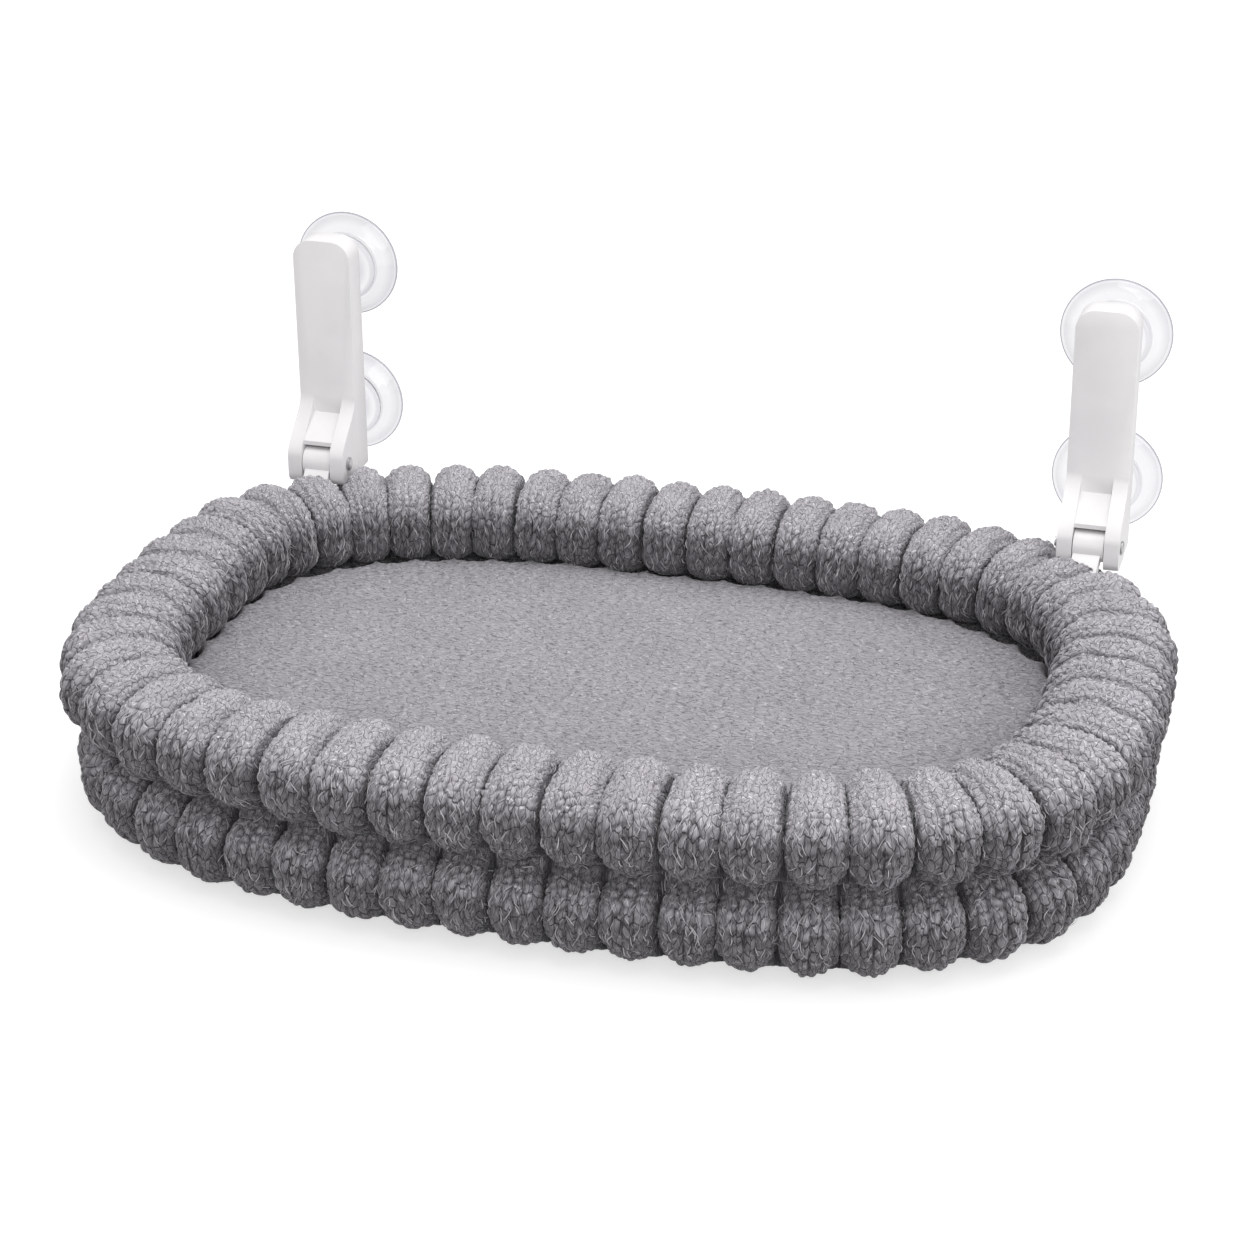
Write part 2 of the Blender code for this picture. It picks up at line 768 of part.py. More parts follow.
def build_brackets(group):
    meshes = {
        "bracket_shell": (shell_mesh(), "plastic"),
        "bracket_back": (back_mesh(), "plastic"),
        "hinge_pin": (pin_mesh(), "steel"),
        "pin_retainer": (retainer_mesh(), "steel"),
        "upper_cup": (cup_mesh(upper_cup_rise), "clear"),
        "lower_cup": (cup_mesh(lower_cup_rise), "clear"),
        "upper_screw": (screw_mesh(upper_screw_rise), "steel"),
        "lower_screw": (screw_mesh(lower_screw_rise), "steel"),
    }
    for side, sign in side_signs.items():
        hinge = bpy.data.objects.new("hinge_" + side, None)
        hinge.location = pin_place(sign)
        group.objects.link(hinge)
        for name, (mesh, look) in meshes.items():
            add_piece(name + "_" + side, mesh.copy(), look, group, hinge)


clear_scene()
bed_group = new_collection("cat_window_bed")
cutters = new_collection("cutters")
materials = make_materials()
build_bed(bed_group)
build_brackets(bed_group)
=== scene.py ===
# Cat window bed: two channelled plush rings round a fleece pad, carried by two folding window
# brackets with suction cups. Metres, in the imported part's frame.
import math

import bmesh
import bpy
import numpy as np
from mathutils import Matrix, Vector


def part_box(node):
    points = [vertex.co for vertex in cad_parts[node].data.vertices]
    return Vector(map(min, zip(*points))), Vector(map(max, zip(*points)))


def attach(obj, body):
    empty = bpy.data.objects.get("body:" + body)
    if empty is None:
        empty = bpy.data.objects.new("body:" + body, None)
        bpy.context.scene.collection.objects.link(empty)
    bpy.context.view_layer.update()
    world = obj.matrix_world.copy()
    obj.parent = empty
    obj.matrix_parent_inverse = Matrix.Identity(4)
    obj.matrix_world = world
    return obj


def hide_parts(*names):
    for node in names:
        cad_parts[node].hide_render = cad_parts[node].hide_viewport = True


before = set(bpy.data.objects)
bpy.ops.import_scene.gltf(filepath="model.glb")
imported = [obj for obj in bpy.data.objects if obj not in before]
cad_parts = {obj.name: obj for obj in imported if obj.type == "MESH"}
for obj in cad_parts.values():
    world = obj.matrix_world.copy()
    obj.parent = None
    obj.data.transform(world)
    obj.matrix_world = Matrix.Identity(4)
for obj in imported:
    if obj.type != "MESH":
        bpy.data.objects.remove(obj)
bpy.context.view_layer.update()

# Camera, found from the photograph with the bed's real sizes

camera = {
    "azimuth": 16.71,
    "elevation": 25.25,
    "roll": -0.39,
    "distance": 1.585,
    "target": (-0.0039, 0.0289, 0.0739),
    "focalPixels": 3053,
    "imagePixels": 1254,
    "sensorWidth": 36.0,
    "nearest": 0.05,
    "farthest": 60.0,
}


def addCamera():
    turn, lift, roll = (math.radians(camera[k]) for k in ("azimuth", "elevation", "roll"))
    back = Vector((math.sin(turn) * math.cos(lift), -math.cos(turn) * math.cos(lift),
                   math.sin(lift)))
    right = (-back).cross(Vector((0, 0, 1))).normalized()
    up = back.cross(right)
    rolledRight = right * math.cos(roll) + up * math.sin(roll)
    rolledUp = up * math.cos(roll) - right * math.sin(roll)
    data = bpy.data.cameras.new("studioCamera")
    data.sensor_width = camera["sensorWidth"]
    data.lens = camera["focalPixels"] * camera["sensorWidth"] / camera["imagePixels"]
    data.clip_start, data.clip_end = camera["nearest"], camera["farthest"]
    piece = bpy.data.objects.new("studioCamera", data)
    turned = Matrix((rolledRight, rolledUp, back)).transposed().to_4x4()
    place = Vector(camera["target"]) + back * camera["distance"]
    piece.matrix_world = Matrix.Translation(place) @ turned
    bpy.context.scene.collection.objects.link(piece)
    bpy.context.scene.camera = piece


# Node helpers

def setAll(target, values):
    for key, value in values.items():
        setattr(target, key, value)
    return target


def setInputs(tree, node, inputs):
    # Inputs are values, or sockets that are linked to the node.
    for key, value in inputs.items():
        if isinstance(value, bpy.types.NodeSocket):
            tree.links.new(value, node.inputs[key])
        else:
            node.inputs[key].default_value = value
    return node


def addNode(tree, kind, inputs=None, **settings):
    return setInputs(tree, setAll(tree.nodes.new(kind), settings), inputs or {})


def maths(tree, operation, *values):
    return addNode(tree, "ShaderNodeMath", dict(enumerate(values)), operation=operation).outputs[0]


def noiseNode(tree, place, scale, detail, roughness=0.5, distortion=0.0):
    return addNode(tree, "ShaderNodeTexNoise", {
        "Vector": place, "Scale": scale, "Detail": detail, "Roughness": roughness,
        "Distortion": distortion}).outputs


def ramp(tree, source, stops, mode="EASE"):
    # A stop is its place and its colour, and one number makes a grey.
    node = addNode(tree, "ShaderNodeValToRGB", {"Fac": source})
    node.color_ramp.interpolation = mode
    while len(node.color_ramp.elements) < len(stops):
        node.color_ramp.elements.new(0.5)
    for element, (place, colour) in zip(node.color_ramp.elements, stops):
        element.position = place
        element.color = (*np.broadcast_to(colour, 3), 1)
    return node.outputs["Color"]


def blended(tree, first, second, mode="MULTIPLY"):
    return addNode(tree, "ShaderNodeMix", {0: 1.0, 6: first, 7: second}, data_type="RGBA",
                   blend_type=mode).outputs[2]


def bumped(tree, height, strength, distance, under=None):
    node = addNode(tree, "ShaderNodeBump", {"Height": height, "Strength": strength,
                                            "Distance": distance})
    return setInputs(tree, node, {"Normal": under} if under else {}).outputs["Normal"]


def ownPlace(tree):
    return addNode(tree, "ShaderNodeTexCoord").outputs["Object"]


def shareNode(tree, name):
    return addNode(tree, "ShaderNodeAttribute", attribute_name=name).outputs["Fac"]


def newMaterial(name):
    material = bpy.data.materials.new(name)
    material.use_nodes = True
    tree = material.node_tree
    return material, tree, tree.nodes["Principled BSDF"]


def newGroup(name, values, results):
    # A group with a vector input, a number input for each value and a number for each result.
    tree = bpy.data.node_groups.new(name, "ShaderNodeTree")
    tree.interface.new_socket("Vector", in_out="INPUT", socket_type="NodeSocketVector")
    for label, value in values.items():
        socket = tree.interface.new_socket(label, in_out="INPUT", socket_type="NodeSocketFloat")
        socket.default_value = value
    for label in results:
        tree.interface.new_socket(label, in_out="OUTPUT", socket_type="NodeSocketFloat")
    return tree, tree.nodes.new("NodeGroupInput").outputs, tree.nodes.new("NodeGroupOutput")


def placeGroup(tree, group, inputs):
    return addNode(tree, "ShaderNodeGroup", inputs, node_tree=group).outputs


def makeFibreGroup():
    # Fine yarn: strands drawn out along V, crossed by a softer mottle.
    tree, given, wanted = newGroup(
        "fibreGrain", {"Strand Width": 0.0006, "Strand Length": 0.004, "Mottle Size": 0.02},
        ("Height", "Mottle"))
    across, along, wide = (maths(tree, "DIVIDE", 1.0, given[label])
                           for label in ("Strand Width", "Strand Length", "Mottle Size"))
    stretch = addNode(tree, "ShaderNodeCombineXYZ", {"X": across, "Y": along, "Z": across})
    drawn = addNode(tree, "ShaderNodeVectorMath", {0: given["Vector"], 1: stretch.outputs[0]},
                    operation="MULTIPLY").outputs[0]
    patches = addNode(tree, "ShaderNodeVectorMath", {0: given["Vector"], "Scale": wide},
                      operation="SCALE").outputs[0]
    setInputs(tree, wanted, {"Height": noiseNode(tree, drawn, 1.0, 3.0, 0.6, 0.6)["Fac"],
                             "Mottle": noiseNode(tree, patches, 1.0, 2.0)["Fac"]})
    return tree


def makeMouldGroup():
    # Moulded or machined surface: faint spark texture and soft handling marks.
    tree, given, wanted = newGroup("surfaceGrain", {"Grain Size": 0.0006, "Mark Size": 0.03},
                                   ("Height", "Marks"))
    fine, wide = (maths(tree, "DIVIDE", 1.0, given[label]) for label in ("Grain Size", "Mark Size"))
    setInputs(tree, wanted, {
        "Height": noiseNode(tree, given["Vector"], fine, 1.0)["Fac"],
        "Marks": noiseNode(tree, given["Vector"], wide, 4.0, distortion=0.4)["Fac"]})
    return tree


lockNet = {
    "bandShare": 0.006,      # of the way along, so that the sway runs in bands
    "swayAcross": 6.0,       # at a bend of 1, in cells
    "swayAlong": 3.0,
    "halfShift": 17.37,      # cells from one half coil to the next
    "partingSlope": 0.3,
    "faint": 0.022,          # taken off the borders where there are no partings
    "randomness": 0.9,
    "finerScale": (1.45, 0.85, 1.0),
    "finerPlace": (31.7, 11.3, 0.0),
}


def makeLockGroup():
    # Locks of pile as long cells in columns, bent by noise. Neighbouring columns lean to
    # opposite sides, with a parting between each two. U is mirrored at each coil's middle, and
    # each half coil takes its own stretch of cells. Edge is the distance to a lock's border,
    # Strand the distance to the nearest line of a finer net, and Tone a lock's own value.
    tree, given, wanted = newGroup(
        "fleeceLocks", {"Width": 0.003, "Half Coil": 0.02, "Lean": 0.8, "Bend": 0.12,
                        "Bend Scale": 160.0, "Parting": 1.0}, ("Edge", "Strand", "Tone"))

    def calc(operation, *values):
        return maths(tree, operation, *values)

    def net(place, feature, randomness):
        return addNode(tree, "ShaderNodeTexVoronoi", {"Vector": place, "Scale": 1.0,
                                                      "Randomness": randomness},
                       voronoi_dimensions="2D", feature=feature).outputs

    def separate(source):
        return addNode(tree, "ShaderNodeSeparateXYZ", {"Vector": source}).outputs

    def combine(x, y):
        return addNode(tree, "ShaderNodeCombineXYZ", {"X": x, "Y": y}).outputs[0]

    parts = separate(given["Vector"])
    bands = combine(parts["X"], calc("MULTIPLY", parts["Y"], lockNet["bandShare"]))
    sway = separate(noiseNode(tree, bands, given["Bend Scale"], 1.5)["Color"])
    swayAcross, swayAlong = (calc("MULTIPLY", calc("SUBTRACT", sway[axis], 0.5),
                                  calc("MULTIPLY", given["Bend"], lockNet[reach]))
                             for axis, reach in (("X", "swayAcross"), ("Y", "swayAlong")))
    mirrored = calc("PINGPONG", parts["X"], given["Half Coil"])
    half = calc("FLOOR", calc("DIVIDE", parts["X"], given["Half Coil"]))
    across = calc("ADD", calc("DIVIDE", mirrored, given["Width"]), swayAcross)
    fold = calc("PINGPONG", across, 1.0)
    along = calc("ADD", calc("ADD", parts["Y"], calc("MULTIPLY", half, lockNet["halfShift"])),
                 calc("ADD", swayAlong, calc("MULTIPLY", fold, given["Lean"])))
    spot = combine(across, along)
    finer = addNode(tree, "ShaderNodeMapping", {"Vector": spot, "Scale": lockNet["finerScale"],
                                                "Location": lockNet["finerPlace"]}).outputs[0]
    parting = calc("MULTIPLY_ADD", fold, lockNet["partingSlope"],
                   calc("SUBTRACT", 0.5, calc("MULTIPLY", given["Parting"], 0.5)))
    # where there are no partings the borders are fainter too
    faint = calc("MULTIPLY_ADD", given["Parting"], -lockNet["faint"], lockNet["faint"])
    border = net(spot, "DISTANCE_TO_EDGE", lockNet["randomness"])["Distance"]
    setInputs(tree, wanted, {
        "Edge": calc("MINIMUM", calc("ADD", border, faint), parting),
        "Strand": net(finer, "DISTANCE_TO_EDGE", 1.0)["Distance"],
        "Tone": separate(net(spot, "F1", lockNet["randomness"])["Color"])["X"]})
    return tree


fibreGroup = makeFibreGroup()
lockGroup = makeLockGroup()
mouldGroup = makeMouldGroup()

# Materials

plush = {
    # painted shade: the colour of the pile in the creases between tufts
    "crease": (0.040, 0.037, 0.040),
    "lockBump": 0.0006,
    "strandBump": 0.00018,
    "mottleSize": 0.045,
    "sheen": 0.40,
    "sheenTint": (0.92, 0.90, 0.95, 1),
    # stops of each layer: place and tone
    # partings between locks, darkened as painted shade
    "partings": ((0.0, 0.06), (0.055, 0.50), (0.10, 1.10), (0.20, 1.04), (0.5, 0.97)),
    # a net of lighter strands, partly the yarn's own colour and partly painted highlight
    "bright": ((0.0, 1.70), (0.04, 1.45), (0.085, 0.90), (0.3, 0.96)),
    "tones": ((0.0, 0.95), (1.0, 1.05)),
    "patches": ((0.3, 0.95), (0.7, 1.04)),
    "hollow": ((0.0, 0.0), (0.30, 0.9)),
    "ridge": ((0.0, 0.5), (0.10, 0.0)),
}

ringPile = {
    "tip": (0.458, 0.441, 0.472),
    "creaseEnd": 0.78,
    "contrast": 1.0,
    "locks": {"Width": 0.0025, "Half Coil": 0.02, "Lean": 0.6, "Bend": 0.15, "Bend Scale": 150.0},
    "yarn": {"Strand Width": 0.00045, "Strand Length": 0.0035},
    "yarnTones": ((0.30, 0.93), (0.72, 1.06)),
}

padPile = {
    "tip": (0.330, 0.319, 0.340),
    "creaseEnd": 0.80,
    "contrast": 0.65,
    "locks": {"Width": 0.0026, "Half Coil": 2.5, "Lean": 0.2, "Bend": 0.30, "Bend Scale": 190.0},
    "yarn": {"Strand Width": 0.0013, "Strand Length": 0.0042},
    "yarnTones": ((0.36, 0.52), (0.44, 0.92), (0.52, 1.02), (0.64, 1.14)),
}


def makeFleece(name, pile):
    # Pile from painted shade in the tufts' creases to their tips, with the rings' painted shade in
    # grooves and low down, drawn over with dark partings between locks as painted shade, a net of
    # bright strands that is partly painted highlight, and fine yarn.
    material, tree, shader = newMaterial(name)
    uv, lockUv = (addNode(tree, "ShaderNodeUVMap", uv_map=label).outputs["UV"]
                  for label in ("cloth", "locks"))
    fibre = placeGroup(tree, fibreGroup, {"Vector": uv, "Mottle Size": plush["mottleSize"],
                                          **pile["yarn"]})
    lock = placeGroup(tree, lockGroup, {"Vector": lockUv, "Parting": shareNode(tree, "parting"),
                                        **pile["locks"]})

    def shades(stops):
        return [(place, 1 + (tone - 1) * pile["contrast"]) for place, tone in stops]
    # the pile attribute holds the painted shade, and the crease colour is painted shade
    colour = ramp(tree, shareNode(tree, "pile"), [(0.0, plush["crease"]),
                                                  (pile["creaseEnd"], pile["tip"])])
    for layer in (ramp(tree, lock["Edge"], shades(plush["partings"])),
                  ramp(tree, lock["Strand"], shades(plush["bright"])),
                  ramp(tree, lock["Tone"], shades(plush["tones"]), "LINEAR"),
                  ramp(tree, fibre["Height"], pile["yarnTones"]),
                  ramp(tree, fibre["Mottle"], plush["patches"])):
        colour = blended(tree, colour, layer)
    height = blended(tree, ramp(tree, lock["Edge"], plush["hollow"]),
                     ramp(tree, lock["Strand"], plush["ridge"]), "ADD")
    low = bumped(tree, height, 0.9 * pile["contrast"], plush["lockBump"])
    setInputs(tree, shader, {
        "Base Color": colour,
        "Normal": bumped(tree, fibre["Height"], 0.8, plush["strandBump"], low),
        "Roughness": 0.95, "Specular IOR Level": 0.15, "Sheen Weight": plush["sheen"],
        "Sheen Roughness": plush["sheen"], "Sheen Tint": plush["sheenTint"]})
    return material


def makeFibre(name):
    material, tree, shader = newMaterial(name)
    mottle = noiseNode(tree, ownPlace(tree), 160.0, 1.0)["Fac"]
    setInputs(tree, shader, {
        "Base Color": ramp(tree, mottle, [(0.3, (0.36, 0.347, 0.368)), (0.7, (0.55, 0.536, 0.562))]),
        "Roughness": 0.6, "Specular IOR Level": 0.3, "Sheen Weight": 0.3})
    return material


def makeMoulded(name, colour, roughness, grainSize, bump, coat=0.0):
    material, tree, shader = newMaterial(name)
    grain = placeGroup(tree, mouldGroup, {"Vector": ownPlace(tree), "Grain Size": grainSize})
    darker = np.array(colour) * 0.965
    setInputs(tree, shader, {
        "Base Color": ramp(tree, grain["Marks"], [(0.35, darker), (0.6, colour)]),
        "Roughness": ramp(tree, grain["Marks"], [(0.3, roughness * 0.85),
                                                 (0.7, roughness * 1.15)]),
        "Normal": bumped(tree, grain["Height"], 0.35, bump),
        "Coat Weight": coat, "Coat Roughness": 0.25})
    return material


def makeMetal(name, colour, roughness):
    material, tree, shader = newMaterial(name)
    grain = placeGroup(tree, mouldGroup, {"Vector": ownPlace(tree), "Grain Size": 0.0004,
                                          "Mark Size": 0.01})
    darker = np.array(colour) * 0.86
    setInputs(tree, shader, {
        "Base Color": ramp(tree, grain["Marks"], [(0.3, darker), (0.7, colour)]),
        "Roughness": ramp(tree, grain["Height"], [(0.3, roughness * 0.75),
                                                  (0.7, roughness * 1.3)]),
        "Metallic": 1.0})
    return material


def makeClear():
    # Soft clear PVC with a faint lilac cast, and painted shade where the rim and the hub turn on
    # edge, standing in for the darker look of clear plastic seen edge-on.
    material, tree, shader = newMaterial("clearPvc")
    grain = placeGroup(tree, mouldGroup, {"Vector": ownPlace(tree), "Grain Size": 0.002,
                                          "Mark Size": 0.02})
    body = ramp(tree, grain["Marks"], [(0.3, (0.945, 0.942, 0.966)), (0.7, (0.98, 0.978, 0.992))])
    paintedEdgeShade = ramp(tree, shareNode(tree, "edge"), [(0.0, 1.0), (1.0, (0.36, 0.36, 0.42))], "LINEAR")
    setInputs(tree, shader, {
        "Base Color": blended(tree, body, paintedEdgeShade),
        "Roughness": ramp(tree, grain["Marks"], [(0.3, 0.02), (0.7, 0.08)]),
        "Transmission Weight": 1.0, "IOR": 1.42})
    return material


def makeWoven():
    # Plain weave of the bottom cover: warp and weft as two crossed waves.
    material, tree, shader = newMaterial("coverWeave")
    spot = ownPlace(tree)
    warp, weft = (addNode(tree, "ShaderNodeTexWave", {"Vector": spot, "Scale": 260.0,
                                                      "Distortion": 1.0},
                          wave_type="BANDS", bands_direction=way).outputs["Fac"] for way in "XY")
    weave = maths(tree, "MULTIPLY", warp, weft)
    body = ramp(tree, weave, [(0.0, (0.13, 0.128, 0.135)), (0.8, (0.22, 0.217, 0.225))])
    patches = ramp(tree, noiseNode(tree, spot, 40.0, 3.0)["Fac"], [(0.3, 0.92), (0.7, 1.05)])
    setInputs(tree, shader, {
        "Base Color": blended(tree, body, patches),
        "Normal": bumped(tree, weave, 0.6, 0.0003), "Roughness": 0.9, "Sheen Weight": 0.1})
    return material


def makeBoard():
    material, tree, shader = newMaterial("birchBoard")
    drawn = addNode(tree, "ShaderNodeMapping", {"Vector": ownPlace(tree),
                                                "Scale": (6.0, 90.0, 90.0)}).outputs["Vector"]
    growth = noiseNode(tree, drawn, 1.0, 5.0, distortion=1.2)["Fac"]
    setInputs(tree, shader, {
        "Base Color": ramp(tree, growth, [(0.3, (0.36, 0.25, 0.155)), (0.55, (0.47, 0.345, 0.225)),
                                          (0.8, (0.53, 0.40, 0.275))]),
        "Normal": bumped(tree, growth, 0.3, 0.0003), "Roughness": 0.72})
    return material


looks = {
    "plush": makeFleece("plushFleece", ringPile),
    "fibre": makeFibre("plushFibre"),
    "pad": makeFleece("padFleece", padPile),
    "white": makeMoulded("whiteMoulding", (0.79, 0.777, 0.781), 0.42, 0.0005, 0.00003, 0.1),
    "joiner": makeMoulded("joinerMoulding", (0.74, 0.74, 0.74), 0.5, 0.0008, 0.00005),
    "tube": makeMoulded("tubePowderCoat", (0.56, 0.56, 0.57), 0.45, 0.0009, 0.0001),
    "pin": makeMetal("pinSteel", (0.56, 0.56, 0.57), 0.32),
    "clear": makeClear(),
    "cover": makeWoven(),
    "board": makeBoard(),
}
print("materials made")

# Mesh helpers


def meshFrom(name, points, quads, triangles=None):
    mesh = bpy.data.meshes.new(name)
    loops = quads.ravel()
    starts = np.arange(len(quads)) * 4
    if triangles is not None:
        starts = np.concatenate([starts, loops.size + np.arange(len(triangles)) * 3])
        loops = np.concatenate([loops, triangles.ravel()])
    mesh.vertices.add(len(points))
    mesh.vertices.foreach_set("co", points.astype(np.float32).ravel())
    mesh.loops.add(loops.size)
    mesh.loops.foreach_set("vertex_index", loops.astype(np.int32))
    mesh.polygons.add(len(starts))
    mesh.polygons.foreach_set("loop_start", starts.astype(np.int32))
    mesh.update(calc_edges=True)
    mesh.shade_smooth()
    return mesh


def storeUv(mesh, label, spots):
    mesh.uv_layers.new(name=label).data.foreach_set("uv", spots.astype(np.float32).ravel())


def storeShare(mesh, name, values):
    layer = mesh.attributes.new(name, "FLOAT", "POINT")
    layer.data.foreach_set("value", values.astype(np.float32).ravel())


def gridCorners(rows, columns, closedRows, closedColumns):
    # Row and column of the four corners of each quad, past the last where the grid closes.
    i = np.arange(rows if closedRows else rows - 1)[:, None]
    j = np.arange(columns if closedColumns else columns - 1)[None, :]
    corners = ((i, j), (i + 1, j), (i + 1, j + 1), (i, j + 1))
    return [np.broadcast_arrays(a, b) for a, b in corners]


def gridQuads(rows, columns, closedRows, closedColumns):
    corners = gridCorners(rows, columns, closedRows, closedColumns)
    return np.stack([a % rows * columns + b % columns for a, b in corners], -1).reshape(-1, 4)


def gridRim(grid):
    return np.concatenate([grid[:-1, 0], grid[-1, :-1], grid[:0:-1, -1], grid[0, :0:-1]])


def gridMesh(name, points, closed, layers=None):
    rows, columns = points.shape[:2]
    mesh = meshFrom(name, points.reshape(-1, 3), gridQuads(rows, columns, closed, closed))
    for label, (u, v) in (layers or {}).items():
        storeUv(mesh, label, np.stack([np.stack([u[a], v[b]], -1) for a, b in
                                       gridCorners(rows, columns, closed, closed)], 2))
    return mesh


def addPiece(name, mesh, look, body, nodes=()):
    piece = bpy.data.objects.new(name, mesh)
    bpy.context.scene.collection.objects.link(piece)
    mesh.materials.clear()
    mesh.materials.append(looks[look])
    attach(piece, body)
    if nodes:
        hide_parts(*nodes)
    return piece


def unit(values):
    return values / np.maximum(np.linalg.norm(values, axis=-1, keepdims=True), 1e-12)


def gridNormals(points, closed):
    # Cross product of the steps along the rows and the columns, by central differences.
    def steps(axis):
        if closed:
            return np.roll(points, -1, axis) - np.roll(points, 1, axis)
        return np.gradient(points, axis=axis)
    return unit(np.cross(steps(0), steps(1)))


def smoothStep(value, low, high, start=0, end=1):
    share = np.clip((value - low) / (high - low), 0, 1)
    return start + (end - start) * (share * share * (3 - 2 * share))


def gridBlend(values, i, j, a, b):
    # A blend of the four values round each place in a wrapping grid.
    rows, columns = values.shape[:2]
    i, j = i % rows, j % columns
    k, m = (i + 1) % rows, (j + 1) % columns
    return ((values[i, j] * (1 - a) + values[k, j] * a) * (1 - b)
            + (values[i, m] * (1 - a) + values[k, m] * a) * b)


def softNoise(x, y, cellsX, cellsY, random):
    # Values at the corners of a wrapping grid, joined by smooth steps, from -1 to 1.
    table = random.uniform(-1, 1, (cellsX, cellsY))
    i, j = np.floor(x).astype(int), np.floor(y).astype(int)
    return gridBlend(table, i, j, smoothStep(x - i, 0, 1), smoothStep(y - j, 0, 1))


def tuftField(x, y, cellsX, cellsY, lean, scatter, random):
    # One tuft per cell of a wrapping grid, its middle moved at random and every second column
    # set off by half a cell. Each point takes the nearest middle, and its height is how much
    # nearer that one is than the next, so creases lie half way between tufts. Odd and even
    # columns lean to opposite sides, like knitting.
    moveX = random.uniform(-scatter, scatter, (cellsX, cellsY))
    moveY = random.uniform(-scatter, scatter, (cellsX, cellsY))
    moveY += 0.5 * (np.arange(cellsX) % 2)[:, None]
    tone = random.uniform(0, 1, (cellsX, cellsY))
    i, j = np.floor(x).astype(int), np.floor(y).astype(int)
    nearest = np.full(x.shape, 9.0)
    second = np.full(x.shape, 9.0)
    found = np.zeros(x.shape)
    for stepX in (-1, 0, 1):
        for stepY in (-2, -1, 0, 1):
            column, row = (i + stepX) % cellsX, (j + stepY) % cellsY
            side = np.where(column % 2 == 0, 1.0, -1.0)
            across = x - (i + stepX + 0.5 + moveX[column, row])
            along = y - (j + stepY + 0.5 + moveY[column, row]) + side * lean * across
            far = np.sqrt(across ** 2 + along ** 2)
            closer = far < nearest
            second = np.where(closer, nearest, np.minimum(second, far))
            nearest = np.where(closer, far, nearest)
            found = np.where(closer, tone[column, row], found)
    edge = np.clip((second - nearest) / tufts["edgeShare"], 0, 1)
    return 1 - (1 - edge) ** 2, found


def wovenPlaces(values, places):
    # Values along the first axis, which closes, at fractional places by Catmull-Rom's cubic.
    base = np.floor(places).astype(int)
    t = (places - base).reshape((-1,) + (1,) * (values.ndim - 1))
    before, here, after, beyond = (values[(base + offset) % len(values)]
                                   for offset in (-1, 0, 1, 2))
    return here + 0.5 * t * (after - before + t * (2 * before - 5 * here + 4 * after - beyond
                                                  + t * (3 * (here - after) + beyond - before)))


def boxOf(node):
    # Half size and middle of a node's box.
    low, high = (np.array(corner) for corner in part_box(node))
    return (high - low) / 2, (high + low) / 2


# Brackets' room in the plush

hinge = {
    "pinX": 0.218,
    "pinY": 0.1425,
    "pinZ": 0.099,
    "halfWidth": 0.0178,
    "fade": 0.0045,
    "swing": 0.0170,
    "foot": 0.0125,
    "strandAside": 0.002,    # room that the yarn ends leave beside the cheeks
    "strandReach": 0.034,    # and round the pin
}


def clearOfBrackets(points):
    # Near each pin the plush is pushed out to the reach of the folding cheeks, and down to the
    # foot of the casing behind the pin.
    for sign in (-1, 1):
        aside = np.abs(points[..., 0] - sign * hinge["pinX"])
        share = smoothStep(aside, hinge["halfWidth"], hinge["halfWidth"] + hinge["fade"], 1, 0)
        y, z = points[..., 1] - hinge["pinY"], points[..., 2] - hinge["pinZ"]
        far = np.maximum(np.hypot(y, z), 1e-6)
        scale = 1 + share * (np.maximum(far, hinge["swing"]) / far - 1)
        under = (y > 0) & (share > 0)
        z = np.where(under, z + share * (np.minimum(z, -hinge["foot"]) - z), z * scale)
        y = np.where(under, y, y * scale)
        points[..., 1], points[..., 2] = y + hinge["pinY"], z + hinge["pinZ"]


# Plush rings

rings = {
    "pair": (
        # name, node, inset from the bed's outline, seed
        ("upper", "upper_bolster", 0.032, 11),
        ("lower", "lower_bolster", 0.038, 23),
    ),
    "coils": 53,
    "rows": 46,              # across one coil
    "around": 132,
    "rowEase": 0.55,         # how much closer the rows lie near the grooves
    "outlineSteps": 2880,
    "power": 2.85,           # of the bed's outline
    "sectionPower": 2.35,
    "sectionSteps": 1441,
    "flatShare": 1.3,        # more points where the section runs flat
    "upperShare": (-0.9, -0.5, 1, 1.7),
    "halfWidth": 0.032,
    "grooveDepth": 0.0138,
    "sewnDepth": 0.0002,     # where the rings are sewn together and on the floor
    "sewnReach": (0.22, 0.52),
    "padDepth": 0.0065,      # on the upper ring's inner side, below the pad's top
    "padReach": (-0.12, -0.50),
    "phase": 0.63,
    "frontStretch": 0.045,   # coils are a little longer in front than at the back
    "crownPower": 2.0,
    "sizes": (0.980, 1.012),
    "plump": 0.0007,
    "coilLength": 0.0302,
    "coilArc": 0.040,        # from groove to groove along the cloth
    "coilRound": 0.178,
    "lockLengths": (0.0072, 0.0040),   # down the sides and on the crest
    "lockChange": (0.33, 0.42),
    "floorGap": 0.0004,
    "overlap": 0.00005,
}

tufts = {
    "edgeShare": 0.85,       # of a cell, from a tuft's crease to its top
    "across": 8,             # on one coil
    "wander": 0.42,
    "noise": (3, 12),        # cells along a coil and round it
    "lumps": (4, 16),
    # count round a coil, drift, lean, scatter
    "sides": (20, 0.3, 0.35, 0.24),
    "crest": (36, 0.4, 0.1, 0.30),
    "crestFrom": (0.35, 0.75),
    "crestWander": 0.25,
    "height": 0.0016,
    "sunk": 0.62,            # share of a tuft's height below the coil's own form
    "sideRise": 0.8,
    "crestRise": 0.55,
    "seamShare": 0.3,        # of the tufts' height in the grooves
    "sewnLoss": 0.8,
    "lumpHeight": 0.0006,
    "ridgeHeight": 0.0018,   # of the rings that the tufts' columns make round each coil
    "ridgeSunk": 0.6,
    "ridgeEnds": (0.13, 0.24),
    "ridgeShares": (0.18, 0.62, 0.17),   # everywhere, and more at the right and left ends
    "evenTone": 0.8,
}

